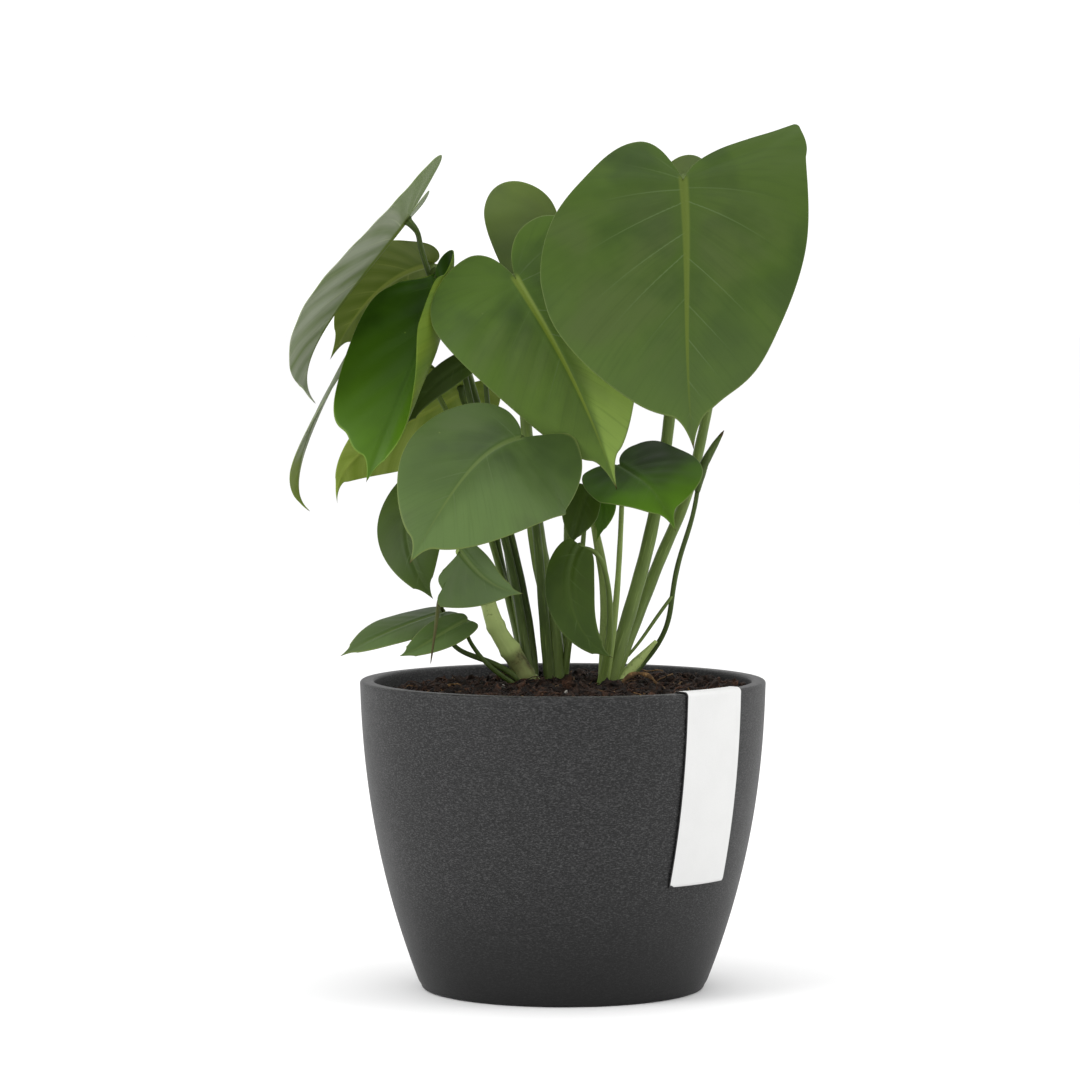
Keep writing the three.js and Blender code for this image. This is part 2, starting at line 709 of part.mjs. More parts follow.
// The height of the soil's surface: a low mound that dips at the back left, with small lumps.
function soilHeight(x, y) {
  const reach = Math.min(1, Math.hypot(x, y) / POT.rimRadius);
  const towards = (SOIL.dipTowards[0] * x + SOIL.dipTowards[1] * y) / POT.rimRadius;
  const back = THREE.MathUtils.clamp(towards, 0, 1);
  const level = SOIL.level + SOIL.mound * (1 - reach * reach) - SOIL.dip * back * back;
  const lump = (wave) => wave.height * Math.sin(wave.x * x + wave.y * y + wave.start);
  return SOIL.waves.reduce((height, wave) => height + lump(wave), level);
}

function soilGeometry() {
  const { sides, rings: count } = SOIL;
  const inner = (z) => innerRadius(z) - GAP;
  const bottom = POT.floor + GAP;
  const ringAt = (radius, height) =>
    Array.from({ length: sides }, (_, i) => {
      const turn = (2 * Math.PI * i) / sides;
      const [x, y] = [radius * Math.cos(turn), radius * Math.sin(turn)];
      return new THREE.Vector3(x, y, height(x, y));
    });
  const rings = [ringAt(inner(bottom), () => bottom)];
  for (let i = 1; i < POT.rows; i++) {
    const z = bottom + (SOIL.level - SOIL.dip - SOIL.band - bottom) * (i / (POT.rows - 1));
    rings.push(ringAt(inner(z), () => z));
  }
  const rim = inner(SOIL.level - SOIL.dip);
  for (let i = count; i >= 1; i--) rings.push(ringAt(rim * (i / count), soilHeight));
  return ringGeometry(new THREE.Vector3(0, 0, bottom), rings, new THREE.Vector3(0, 0, soilHeight(0, 0)));
}

// The card tag: tucked in behind the rim, over it and down the wall outside.
function tagGeometry(thickness, rise = 0) {
  const { width, drop, tuck, angle, columns, rows } = TAG;
  const away = GAP + TAG.thickness / 2;
  const top = POT.height + away;
  const inside = (z) => [innerRadius(z) - away, z];
  const path = [inside(POT.height - tuck - rise), inside(POT.height - tuck / 2), inside(top)];
  path.push([potRadius(POT.height) + away, top]);
  for (let i = 1; i <= rows; i++) {
    const z = POT.height - drop * (i / rows);
    path.push([potRadius(z) + away, z]);
  }
  const middle = path.flatMap(([radius, z]) =>
    Array.from({ length: columns + 1 }, (_, j) => {
      const turn = radians(angle) + ((j / columns - 0.5) * (width + 2 * rise)) / radius;
      return new THREE.Vector3(radius * Math.sin(turn), -radius * Math.cos(turn), z);
    }),
  );
  const index = (i, j) => i * (columns + 1) + j;
  const faces = [];
  for (let i = 0; i + 1 < path.length; i++)
    for (let j = 0; j < columns; j++) {
      faces.push([index(i, j), index(i + 1, j), index(i + 1, j + 1)]);
      faces.push([index(i, j), index(i + 1, j + 1), index(i, j + 1)]);
    }
  const last = path.length - 1;
  const loop = [];
  for (let i = 0; i < last; i++) loop.push(index(i, columns));
  for (let j = columns; j > 0; j--) loop.push(index(last, j));
  for (let i = last; i > 0; i--) loop.push(index(i, 0));
  for (let j = 0; j < columns; j++) loop.push(index(0, j));
  return thickened(middle, faces, loop, thickness);
}

function addPiece(group, name, geometry, finish) {
  const material = new THREE.MeshStandardMaterial({ ...finish, metalness: 0 });
  const mesh = new THREE.Mesh(geometry, material);
  mesh.name = name;
  group.add(mesh);
}

const pottedPlant = new THREE.Group();
const planter = new THREE.Group();
const foliage = new THREE.Group();
pottedPlant.add(planter, foliage);

for (const leaf of LEAVES) {
  leaf.left = { ...HALF, ...leaf.left };
  leaf.right = { ...HALF, ...leaf.right };
  leaf.curve = spineCurve(leaf.spine);
  leaf.length = leaf.curve.getLength();
  addPiece(foliage, leaf.name, bladeGeometry(leaf), FINISHES.leaf);
}
for (const { name, points, radii, finish } of ROLLED)
  addPiece(foliage, name, stalkGeometry(points.map(vector), radii), finish);

const tagRoom = tagGeometry(TAG.thickness + 2 * TAG.room, TAG.rise);
let soil = solidOf(soilGeometry()).subtract(solidOf(tagRoom));
for (const plantlet of PLANTLETS) {
  addPiece(foliage, plantlet.name, geometryOf(plantletSolid(plantlet)), FINISHES.stalk);
  soil = soil.subtract(plantletSolid(plantlet, GAP));
}
addPiece(planter, "pot", potGeometry(), FINISHES.pot);
addPiece(planter, "soil", geometryOf(soil), FINISHES.soil);
addPiece(planter, "tag", tagGeometry(TAG.thickness), FINISHES.tag);

export default pottedPlant;
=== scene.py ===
"""A young swiss cheese plant in a round tapering pot, dressed for its portrait.

Sizes are in millimetres and in the part's own frame: +Z is up, -Y is the front, and the origin is
the centre of the pot's flat underside. Meshes are turned into metres when they are made.
"""

import sys

import logging
import math
from collections.abc import Sequence
from dataclasses import dataclass, field, replace
from enum import Enum
from typing import Any, ClassVar

import bmesh
import bpy
import numpy as np
from bpy.types import ID, Material, NodeSocket, Object
from mathutils import Euler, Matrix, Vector


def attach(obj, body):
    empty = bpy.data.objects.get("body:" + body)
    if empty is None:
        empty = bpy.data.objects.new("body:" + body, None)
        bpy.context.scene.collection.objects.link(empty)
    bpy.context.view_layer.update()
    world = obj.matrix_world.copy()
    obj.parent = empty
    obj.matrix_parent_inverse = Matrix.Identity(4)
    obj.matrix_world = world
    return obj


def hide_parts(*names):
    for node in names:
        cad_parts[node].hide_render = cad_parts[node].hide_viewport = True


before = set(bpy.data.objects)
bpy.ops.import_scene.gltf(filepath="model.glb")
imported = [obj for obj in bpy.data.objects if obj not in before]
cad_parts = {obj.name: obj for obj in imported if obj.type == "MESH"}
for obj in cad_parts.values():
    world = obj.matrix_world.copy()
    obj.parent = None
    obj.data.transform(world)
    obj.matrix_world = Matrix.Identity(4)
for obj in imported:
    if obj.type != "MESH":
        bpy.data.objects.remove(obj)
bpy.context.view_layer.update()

log = logging.getLogger("potted_plant")

MM = 0.001
PHOTO_SIDE = 1080
GAP = 0.3
BODY = "root"

Array = np.ndarray
Point = tuple[float, float, float]
Colour = str | Point


def linear(colour: Colour) -> Point:
    """Turns a colour into the linear one that a shader takes.

    Args:
        colour: Six hexadecimal digits as a screen shows it, or the linear colour itself.

    Returns:
        The linear red, green and blue.
    """
    if not isinstance(colour, str):
        return colour
    levels = [int(colour[i : i + 2], 16) / 255 for i in (0, 2, 4)]
    red, green, blue = (((v + 0.055) / 1.055) ** 2.4 if v > 0.04 else v / 12.92 for v in levels)
    return red, green, blue


def smooth(values: Array, low: float, high: float) -> Array:
    """Rises smoothly from 0 at low to 1 at high.

    Args:
        values: Where to read the rise.
        low: Value at which the rise starts.
        high: Value at which it ends. It may be below low, for a fall.

    Returns:
        The share of the rise at each value.
    """
    share = np.clip((values - low) / (high - low), 0, 1)
    return share * share * (3 - 2 * share)


def bell(values: Array, middle: float, width: float) -> Array:
    """A smooth bump of height 1 round a middle value."""
    return np.exp(-(((values - middle) / width) ** 2))


def bezier(corners: Sequence[Array], shares: Array) -> Array:
    """Finds places on a cubic Bezier curve.

    Args:
        corners: The curve's four corners.
        shares: Shares of the way along it.

    Returns:
        The place at each share.
    """
    a, b, c, d = corners
    t = np.asarray(shares)[..., None]
    s = 1 - t
    return s**3 * a + 3 * s * s * t * b + 3 * s * t * t * c + t**3 * d


def around(radius: Array, heights: Array, angle: Array) -> Array:
    """Places points round the upright axis, by their radius, height and angle."""
    return np.stack(np.broadcast_arrays(radius * np.cos(angle), radius * np.sin(angle), heights), axis=-1)


def unit(vectors: Array) -> Array:
    """Scales each vector of an array to length 1."""
    return vectors / np.maximum(np.linalg.norm(vectors, axis=-1, keepdims=True), 1e-9)


def ripple(x: Array, y: Array, seed: float, octaves: int = 3) -> Array:
    """Gives smooth irregular ups and downs over a plane, from a few crossing waves.

    Args:
        x: First coordinate, in units of the largest wave.
        y: Second coordinate, in the same units.
        seed: Shifts the waves, so that no two surfaces are alike.
        octaves: How many times the waves are halved and added again.

    Returns:
        The height at each place, from about -1 to 1.
    """
    total = np.zeros(np.broadcast(x, y).shape)
    for step in range(octaves):
        scale = 2.03**step
        turn = seed + 1.7 * step
        along = x * math.cos(turn) + y * math.sin(turn)
        aside = y * math.cos(1.3 * turn) - x * math.sin(0.7 * turn)
        total += np.sin(6.3 * scale * along + 2.9 * turn) * np.cos(5.1 * scale * aside + turn) / scale
    return total / 1.75


class Link:
    """A value that flows out of a node, with which shader maths is written as plain expressions."""

    def __init__(self, recipe: "Recipe", socket: NodeSocket) -> None:
        """Keeps the output socket and the recipe whose nodes it belongs to."""
        self.recipe = recipe
        self.socket = socket

    def __add__(self, other: "Link | float") -> "Link":
        """Adds a value."""
        return self.recipe.math("ADD", self, other)

    __radd__ = __add__

    def __sub__(self, other: "Link | float") -> "Link":
        """Takes a value away."""
        return self.recipe.math("SUBTRACT", self, other)

    def __rsub__(self, other: float) -> "Link":
        """Is taken away from a number."""
        return self.recipe.math("SUBTRACT", other, self)

    def __mul__(self, other: "Link | float") -> "Link":
        """Multiplies by a value."""
        return self.recipe.math("MULTIPLY", self, other)

    __rmul__ = __mul__

    def __truediv__(self, other: "Link | float") -> "Link":
        """Divides by a value."""
        return self.recipe.math("DIVIDE", self, other)

    def __rtruediv__(self, other: float) -> "Link":
        """Divides a number."""
        return self.recipe.math("DIVIDE", other, self)

    def __pow__(self, other: "Link | float") -> "Link":
        """Raises to a power."""
        return self.recipe.math("POWER", self, other)

    def __rpow__(self, other: float) -> "Link":
        """Is the power that a number is raised to."""
        return self.recipe.math("POWER", other, self)

    def __abs__(self) -> "Link":
        """Drops the sign."""
        return self.recipe.math("ABSOLUTE", self)

    def fraction(self) -> "Link":
        """Keeps only what follows the decimal point."""
        return self.recipe.math("FRACT", self)

    def whole(self) -> "Link":
        """Rounds down to a whole number."""
        return self.recipe.math("FLOOR", self)

    def rise(self, low: float, high: float, top: float = 1.0) -> "Link":
        """Rises smoothly with this value, or falls if low is above high.

        Args:
            low: Value at which the result is 0.
            high: Value at which the result is top.
            top: The result beyond high.

        Returns:
            The smooth step.
        """
        settings = {"interpolation_type": "SMOOTHSTEP"}
        if low < high:
            ends = {"From Min": low, "From Max": high, "To Min": 0.0, "To Max": top}
        else:
            ends = {"From Min": high, "From Max": low, "To Min": top, "To Max": 0.0}
        return self.recipe.node("ShaderNodeMapRange", settings, {"Value": self, **ends})


class Recipe:
    """The nodes of one material, from its coordinates to its surface."""

    def __init__(self, name: str) -> None:
        """Starts an empty material of that name."""
        self.material = bpy.data.materials.new(name)
        self.material.use_nodes = True
        self.tree = self.material.node_tree
        self.tree.nodes.clear()

    def node(
        self,
        kind: str,
        settings: dict[str, Any] | None = None,
        inputs: dict[str | int, Any] | None = None,
        output: str | int = 0,
    ) -> Link:
        """Adds any node.

        Args:
            kind: The node's type.
            settings: The node's own choices, which are set first.
            inputs: Values or links for its sockets, by name or number.
            output: Name or number of the output to hand on.

        Returns:
            The chosen output.
        """
        node = self.tree.nodes.new(kind)
        for name, value in (settings or {}).items():
            setattr(node, name, value)
        for key, value in (inputs or {}).items():
            socket = self.pick(node.inputs, key)
            if isinstance(value, Link):
                self.tree.links.new(value.socket, socket)
            elif socket.type == "RGBA":
                socket.default_value = (*linear(value), 1.0)
            else:
                socket.default_value = value
        return Link(self, self.pick(node.outputs, output))

    @staticmethod
    def pick(sockets: Sequence[NodeSocket], key: str | int) -> NodeSocket:
        """Finds one of the sockets in use, by name or number."""
        in_use = [socket for socket in sockets if socket.enabled]
        return in_use[key] if isinstance(key, int) else next(socket for socket in in_use if socket.name == key)

    def math(self, operation: str, *values: Link | float) -> Link:
        """Adds a Math node of that operation on one or two values."""
        return self.node("ShaderNodeMath", {"operation": operation}, dict(enumerate(values)))

    def mix(self, first: Colour | Link, second: Colour | Link, share: Link | float) -> Link:
        """Mixes two colours.

        Args:
            first: The colour where share is 0.
            second: The colour where share is 1.
            share: How much of the second there is.

        Returns:
            The mixed colour.
        """
        inputs = {"Factor": share, "A": first, "B": second}
        return self.node("ShaderNodeMix", {"data_type": "RGBA", "clamp_factor": True}, inputs)

    def coats(self, ground: Colour | Link, *layers: tuple[Colour | Link, Link | float]) -> Link:
        """Lays coats of colour over a ground, one after the other.

        Args:
            ground: The colour below them.
            *layers: The colour of each coat, and how much of it there is.

        Returns:
            The colour that shows in the end.
        """
        for colour, share in layers:
            ground = self.mix(ground, colour, share)
        return ground

    def attributes(self, *names: str) -> list[Link]:
        """Reads some of the mesh's own values."""
        return [self.node("ShaderNodeAttribute", {"attribute_name": name}, output="Fac") for name in names]

    def place(self) -> Link:
        """Reads where the surface is, in the object's own coordinates, in metres."""
        return self.node("ShaderNodeTexCoord", output="Object")

    def height(self) -> Link:
        """Height over the floor, in metres."""
        return self.node("ShaderNodeSeparateXYZ", {}, {"Vector": self.place()}, "Z")

    def stretched(self, scale: Point) -> Link:
        """Reads the place scaled along each axis, so that a grain comes out long or short."""
        return self.node("ShaderNodeVectorMath", {"operation": "MULTIPLY"}, {0: self.place(), 1: scale})

    def triple(self, x: Link | float, y: Link | float, z: Link | float) -> Link:
        """Joins three values into a vector."""
        return self.node("ShaderNodeCombineXYZ", {}, {"X": x, "Y": y, "Z": z})

    def noise(self, vector: Link, scale: float, detail: float = 2.0, rough: float = 0.5) -> Link:
        """Adds cloudy noise.

        Args:
            vector: Where it is read.
            scale: How many clouds there are for each unit of the vector.
            detail: How many finer layers it has.
            rough: How strong the finer layers are.

        Returns:
            The noise, about 0.5 on average.
        """
        inputs = {"Vector": vector, "Scale": scale, "Detail": detail, "Roughness": rough}
        return self.node("ShaderNodeTexNoise", {}, inputs)

    def cells(self, vector: Link, scale: float) -> Link:
        """Adds a pattern of cells, handing on the distance to a cell's middle."""
        return self.node("ShaderNodeTexVoronoi", {}, {"Vector": vector, "Scale": scale}, "Distance")

    def bump(self, height: Link, depth: float, strength: float = 1.0) -> Link:
        """Turns a height into fine relief.

        Args:
            height: The height, where 1 is as high as depth.
            depth: How deep the relief is, in millimetres.
            strength: Share of the relief that shows.

        Returns:
            The normal.
        """
        inputs = {"Height": height, "Distance": depth * MM, "Strength": strength}
        return self.node("ShaderNodeBump", {}, inputs)

    def finished(self, **sockets: Any) -> Material:
        """Adds the surface itself.

        Args:
            **sockets: Values or links for the shader, with _ for a space in the socket's name.

        Returns:
            The finished material.
        """
        inputs = {name.replace("_", " "): value for name, value in sockets.items()}
        surface = self.node("ShaderNodeBsdfPrincipled", {}, inputs)
        out = self.tree.nodes.new("ShaderNodeOutputMaterial")
        self.tree.links.new(surface.socket, out.inputs["Surface"])
        return self.material


@dataclass(frozen=True)
class LeafFinish:
    """The skin of a leaf blade: its upper and lower side, midrib, veins and margin, with a painted grey sheen and
    painted light towards the tip and on the right half.
    """

    name: str
    deep: Colour = "2f3f1a"
    bright: Colour = "394f14"
    # Painted sheen: a greyish colour laid in cloudy patches and in bands between the side veins, standing in for the
    # reflection of the bright surroundings.
    painted_sheen: Colour = "434b33"
    under: Colour = "4a5530"
    rib: Colour = "4d5b1f"
    vein: Colour = "4b5c36"
    margin: Colour = "5c6a36"
    # The pale colour is painted light towards the tip and on the right half's lower part; end_share also lays it on
    # the underside's end.
    pale: Colour = "5f7537"
    dry: Colour = "3a2814"
    rib_width: float = 2.3
    rib_share: float = 0.9
    vein_share: float = 0.75
    edge_share: float = 0.6
    painted_sheen_share: float = 0.5
    # Painted light: how much of the pale colour is laid towards the tip, where the blade turns down away from the
    # light.
    tip_light_share: float = 0.35
    # Painted light: how much of the pale colour is laid on the right half's lower part, which lies in shade.
    right_light_share: float = 0.0
    band_share: float = 0.0
    lobe_share: float = 0.0
    end_share: float = 0.0
    shine: float = 0.4
    seed: float = 0.0

    CLOUDS: ClassVar[float] = 34.0
    PATCHES: ClassVar[float] = 15.0
    GRAIN: ClassVar[float] = 1400.0
    SPECKS: ClassVar[float] = 85.0

    def material(self) -> Material:
        """Mixes the leaf's material.

        Returns:
            The material, which reads the blade's own vein, reach and margin values.
        """
        recipe = Recipe(self.name)
        number, spacing, share, out, down = recipe.attributes("vein", "spacing", "share", "across", "down")
        ahead, margin, under, side = recipe.attributes("ahead", "margin", "under", "side")
        across = abs(out)

        clouds = recipe.noise(recipe.place(), self.CLOUDS, 3)
        patches = recipe.noise(recipe.place(), self.PATCHES, 1)
        fan = recipe.triple(number * 1.1, across * 0.035, side * 7 + self.seed)
        bands = recipe.noise(fan, 1, 1)
        fine_fan = recipe.triple(number * 9, across * 0.04, side * 5 + self.seed)
        striae = recipe.noise(fine_fan, 1, 2, 0.5)
        opened = spacing.rise(1, 9)
        grain = recipe.noise(recipe.place(), self.GRAIN, 2)

        vein_id = (number + 0.5).whole()
        strong = recipe.noise(recipe.triple(vein_id * 3.7, side * 5, self.seed), 1, 0).rise(0.42, 0.6)
        apart = abs((number + 0.5).fraction() - 0.5)
        away = apart * spacing
        fading = share.rise(0.85, 0.1)
        vein = away.rise(0.5, 0.08) * fading * (0.12 + 0.88 * strong) * spacing.rise(1.5, 5)
        halo = away.rise(3.4, 0.2) * fading

        rib_half = self.rib_width * (1 - down) ** 1.3 + 0.28
        rib_near = across / rib_half
        rib = rib_near.rise(1.2, 0.55) * down.rise(1.02, 0.62) * ahead
        glow = rib_near.rise(5.5, 0.8) * down.rise(1, 0.1) * ahead

        lively = clouds.rise(0.36, 0.68) * 0.7 + share * patches.rise(0.4, 0.6)
        # Painted sheen: where the grey reflection colour lies, weaker near the notch.
        painted_sheen = (bands * 0.2 + patches * 0.45 + clouds * 0.35).rise(0.46, 0.62, self.painted_sheen_share)
        open_side = recipe.coats(
            self.deep,
            (self.bright, lively),
            # Painted light: the pale colour rises towards the tip.
            (self.pale, down.rise(0.2, 0.95, self.tip_light_share)),
            # Painted light: the pale colour on the right half's lower part, away from the midrib.
            (self.pale, side * share.rise(0, 0.45) * down.rise(0.15, 0.55, self.right_light_share)),
            (self.painted_sheen, painted_sheen * (0.4 + 0.6 * down.rise(0, 0.3))),
            (self.deep, striae.rise(0.5, 0.3, 0.24 * self.vein_share) * opened),
            (self.vein, striae.rise(0.52, 0.8, 0.1 * self.vein_share) * opened),
            (self.bright, glow * 0.5 + halo * 0.12),
            (self.vein, vein * self.vein_share),
            (self.rib, rib * self.rib_share),
            (self.margin, margin.rise(0.5, 0.1, self.edge_share)),
        )
        valley = apart.rise(0.45, 0.1) * opened
        low_side = recipe.coats(
            self.under,
            (self.bright, (1 - valley) * self.band_share),
            (self.vein, valley * 0.4 + bands.rise(0.4, 0.62, 0.4)),
            (self.margin, striae.rise(0.5, 0.75, 0.15) * opened + halo * 0.15),
            (self.bright, striae.rise(0.5, 0.3, 0.15) * opened + glow * 0.4),
            (self.bright, (1 - ahead) * self.lobe_share),
            (self.pale, down.rise(0.6, 0.74, self.end_share)),
            (self.margin, vein * 0.6),
            (self.rib, rib * 0.9),
        )
        speck = recipe.cells(recipe.place(), self.SPECKS).rise(0.055, 0.03, 0.7)
        chosen = recipe.noise(recipe.place(), 60, 0).rise(0.62, 0.7)
        skin = recipe.coats(
            open_side,
            (low_side, under.rise(0.4, 0.6)),
            (self.dry, down.rise(0.965, 0.995, 0.85)),
            (self.margin, speck * chosen),
        )

        relief = (clouds * 0.5 + vein * 0.8 - halo * 0.3) * (1 - under)
        rough = self.shine + 0.14 * clouds + 0.1 * grain - 0.08 + 0.1 * under
        return recipe.finished(
            Base_Color=skin,
            Roughness=rough,
            IOR=1.32,
            Specular_IOR_Level=0.25,
            Normal=recipe.bump(relief, 0.1, 0.5),
        )


@dataclass(frozen=True)
class StalkFinish:
    """Leaf stalks and crowns: fresh or deep green, pale at the sheaths, brown where dried."""

    name: str = "stalk_skin"
    deep: Colour = "26360f"
    fresh: Colour = "4b631b"
    pale: Colour = "aaba74"
    dry: Colour = "43361a"
    scar: Colour = "2d2616"

    def material(self) -> Material:
        """Mixes the material.

        Returns:
            The material, which reads each stalk's own tint, pallor and age.
        """
        recipe = Recipe(self.name)
        tint, aged, run, turn, pallor = recipe.attributes("tint", "aged", "run", "turn", "pallor")
        lines = recipe.noise(recipe.triple(turn * 26, run * 0.06, aged), 1, 2, 0.6)
        clouds = recipe.noise(recipe.place(), 120, 3)
        flecks = recipe.noise(recipe.place(), 900, 2)
        skin = recipe.coats(
            self.deep,
            (self.fresh, tint + clouds * 0.3 - 0.15 + lines.rise(0.45, 0.75, 0.25)),
            (self.pale, pallor * (0.6 + 0.4 * clouds) + lines.rise(0.55, 0.8, 0.2)),
            (self.scar, (flecks + clouds).rise(1.12, 1.25, 0.4) * pallor),
            (recipe.mix(self.dry, self.scar, lines.rise(0.4, 0.65)), (aged * (0.6 + 0.8 * clouds)).rise(0.3, 0.7)),
        )
        return recipe.finished(
            Base_Color=skin,
            Roughness=0.4 + 0.15 * clouds + aged * 0.25,
            IOR=1.36,
            Specular_IOR_Level=0.3,
            Normal=recipe.bump(lines * 0.7 + flecks * 0.3, 0.12, 0.6),
        )


@dataclass(frozen=True)
class CompositeFinish:
    """The pot's charcoal composite, matt, with a fine level grain of lighter dashes and painted shade darkening it
    towards the foot.
    """

    name: str = "charcoal_composite"
    body: Colour = "19191a"
    dark: Colour = "070707"
    dash: Colour = "404040"
    # Height in metres over which painted shade darkens the pot towards its foot.
    foot: float = 0.075

    def material(self) -> Material:
        """Mixes the material.

        Returns:
            The material, of stretched grains over a cloudy ground, darker towards the foot with painted shade.
        """
        recipe = Recipe(self.name)
        dashes = recipe.noise(recipe.stretched((600, 600, 2100)), 1, 2, 0.7)
        speckle = recipe.noise(recipe.stretched((1200, 1200, 2100)), 1, 1)
        fibres = recipe.noise(recipe.stretched((150, 150, 900)), 1, 3, 0.6)
        clouds = recipe.noise(recipe.place(), 26, 3)
        pores = recipe.noise(recipe.place(), 2100, 1)
        grain = dashes * 0.6 + speckle * 0.4
        skin = recipe.coats(
            self.dark,
            (self.body, clouds * 0.6 + fibres.rise(0.3, 0.7, 0.7)),
            (self.dash, grain.rise(0.46, 0.7)),
            (self.dark, grain.rise(0.52, 0.36)),
            # Painted shade: the dark colour rises towards the foot.
            (self.dark, (1 - recipe.height().rise(0.0, self.foot)) * 0.9),
        )
        relief = dashes * 0.6 + pores * 0.3 + fibres * 0.4
        return recipe.finished(
            Base_Color=skin,
            Roughness=0.5 + 0.14 * clouds - 0.1 * dashes,
            Specular_IOR_Level=0.3,
            Normal=recipe.bump(relief, 0.22, 0.6),
        )


@dataclass(frozen=True)
class GroundFinish:
    """Potting mix: dark peat with red-brown fibre, or one of the lighter bits in it."""

    name: str = "potting_mix"
    dark: Colour = "110c09"
    warm: Colour = "2d1f17"
    light: Colour = "4c3a2b"

    def material(self) -> Material:
        """Mixes the material.

        Returns:
            The material, of clouds of three browns with a crumbly relief.
        """
        recipe = Recipe(self.name)
        clumps = recipe.noise(recipe.place(), 170, 4, 0.6)
        crumbs = recipe.noise(recipe.place(), 1100, 3, 0.6)
        threads = recipe.noise(recipe.stretched((300, 1500, 700)), 1, 2)
        skin = recipe.coats(
            self.dark,
            (self.warm, clumps.rise(0.42, 0.66)),
            (self.light, (crumbs * 0.5 + threads * 0.5).rise(0.55, 0.68, 0.5)),
            (self.dark, crumbs.rise(0.48, 0.36, 0.7)),
        )
        return recipe.finished(
            Base_Color=skin,
            Roughness=0.82 + 0.15 * crumbs,
            Specular_IOR_Level=0.25,
            Normal=recipe.bump(crumbs * 0.7 + clumps, 0.6, 0.8),
        )


@dataclass(frozen=True)
class CardFinish:
    """Smooth white card with a thin dark line along its free edges."""

    name: str = "white_card"
    card: Colour = "cbcbca"
    shade: Colour = "c2c2c1"
    line: Colour = "141414"
    line_width: float = 0.55

    def material(self) -> Material:
        """Mixes the material.

        Returns:
            The material, which reads how far the card's edge is.
        """
        recipe = Recipe(self.name)
        (margin,) = recipe.attributes("margin")
        pulp = recipe.noise(recipe.place(), 2600, 2)
        clouds = recipe.noise(recipe.place(), 60, 2)
        skin = recipe.coats(
            self.card,
            (self.shade, pulp.rise(0.45, 0.75, 0.5) + clouds.rise(0.4, 0.8, 0.3)),
            (self.line, margin.rise(self.line_width, self.line_width - 0.12)),
        )
        return recipe.finished(
            Base_Color=skin,
            Roughness=0.5 + 0.1 * pulp,
            Specular_IOR_Level=0.45,
            Normal=recipe.bump(pulp, 0.05, 0.4),
        )


@dataclass(frozen=True)
class FloorFinish:
    """The plain pale studio floor."""

    name: str = "studio_floor"
    tone: Colour = (0.87, 0.87, 0.87)
    light: Colour = (0.89, 0.89, 0.89)

    def material(self) -> Material:
        """Mixes the material.

        Returns:
            The material, a matt off-white with the faintest clouds.
        """
        recipe = Recipe(self.name)
        skin = recipe.mix(self.tone, self.light, recipe.noise(recipe.place(), 0.6, 2))
        return recipe.finished(Base_Color=skin, Roughness=0.9, Specular_IOR_Level=0.1)


class Slot(Enum):
    """The record's material slots."""

    POT = "pot"
    SOIL = "soil"
    TAG = "tag"
    LEAF = "leaf"
    ROLLED = "rolled_leaf"
    DRY = "dry_leaf"
    STALK = "stalk"


@dataclass
class Sheet:
    """Points, faces and per-point values of one mesh, in millimetres."""

    points: Array
    faces: list[tuple[int, ...]]
    values: dict[str, Array] = field(default_factory=dict)

    @staticmethod
    def joined(sheets: Sequence["Sheet"]) -> "Sheet":
        """Puts sheets together as one, in their order.

        Args:
            sheets: The sheets, which have values of the same names.

        Returns:
            All of them as one sheet.
        """
        starts = np.cumsum([0, *(len(sheet.points) for sheet in sheets)]).tolist()
        faces = [tuple(start + i for i in face) for start, sheet in zip(starts, sheets) for face in sheet.faces]
        values = {key: np.concatenate([sheet.values[key] for sheet in sheets]) for key in sheets[0].values}
        return Sheet(np.concatenate([sheet.points for sheet in sheets]), faces, values)


def stand(name: str, data: ID) -> Object:
    """Puts new data into the scene as an object of that name.

    Args:
        name: The object's name.
        data: Its mesh, lamp or camera.

    Returns:
        The new object.
    """
    thing = bpy.data.objects.new(name, data)
    bpy.context.scene.collection.objects.link(thing)
    return thing


def make_piece(
    name: str,
    sheet: Sheet,
    material: Material,
    slot: Slot,
    replaces: Sequence[str] = (),
    flat: bool = False,
) -> Object:
    """Makes one piece of the dressed plant and fits it to the frame.

    Args:
        name: The piece's name.
        sheet: Its shape.
        material: Its finish.
        slot: Not used.
        replaces: The frame's nodes that it stands for.
        flat: True for broken or faceted things, which keep their flat faces.

    Returns:
        The new object.
    """
    mesh = bpy.data.meshes.new(name)
    mesh.from_pydata((sheet.points * MM).tolist(), [], sheet.faces)
    for key, values in sheet.values.items():
        mesh.attributes.new(key, "FLOAT", "POINT").data.foreach_set("value", values.astype(np.float32))
    mesh.materials.append(material)
    mesh.update()
    if flat:
        mesh.shade_flat()
    else:
        mesh.shade_smooth()
    piece = stand(name, mesh)
    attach(piece, BODY)
    if replaces:
        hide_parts(*replaces)
    log.info("%s: %d points, %d faces", name, len(mesh.vertices), len(mesh.polygons))
    return piece


def sheet_normals(points: Array, faces: Sequence[tuple[int, ...]]) -> Array:
    """Works out the normal at each point of a sheet.

    Args:
        points: The sheet's points.
        faces: Its faces, as triangles or quads.

    Returns:
        A unit normal for each point.
    """
    corners = np.array([face if len(face) == 4 else (*face, face[2]) for face in faces])
    first = points[corners[:, 2]] - points[corners[:, 0]]
    second = points[corners[:, 3]] - points[corners[:, 1]]
    across = np.cross(first, second)
    flat = np.cross(points[corners[:, 1]] - points[corners[:, 0]], first)
    triangle = corners[:, 2] == corners[:, 3]
    across[triangle] = flat[triangle]
    normals = np.zeros_like(points)
    for k in range(4):
        np.add.at(normals, corners[:, k], across)
    return unit(normals)


def grid_faces(lines: int, width: int) -> list[tuple[int, ...]]:
    """Lists the quads of a grid of points that are numbered line by line."""
    corners = [line * width + column for line in range(lines - 1) for column in range(width - 1)]
    return [(i, i + width, i + width + 1, i + 1) for i in corners]


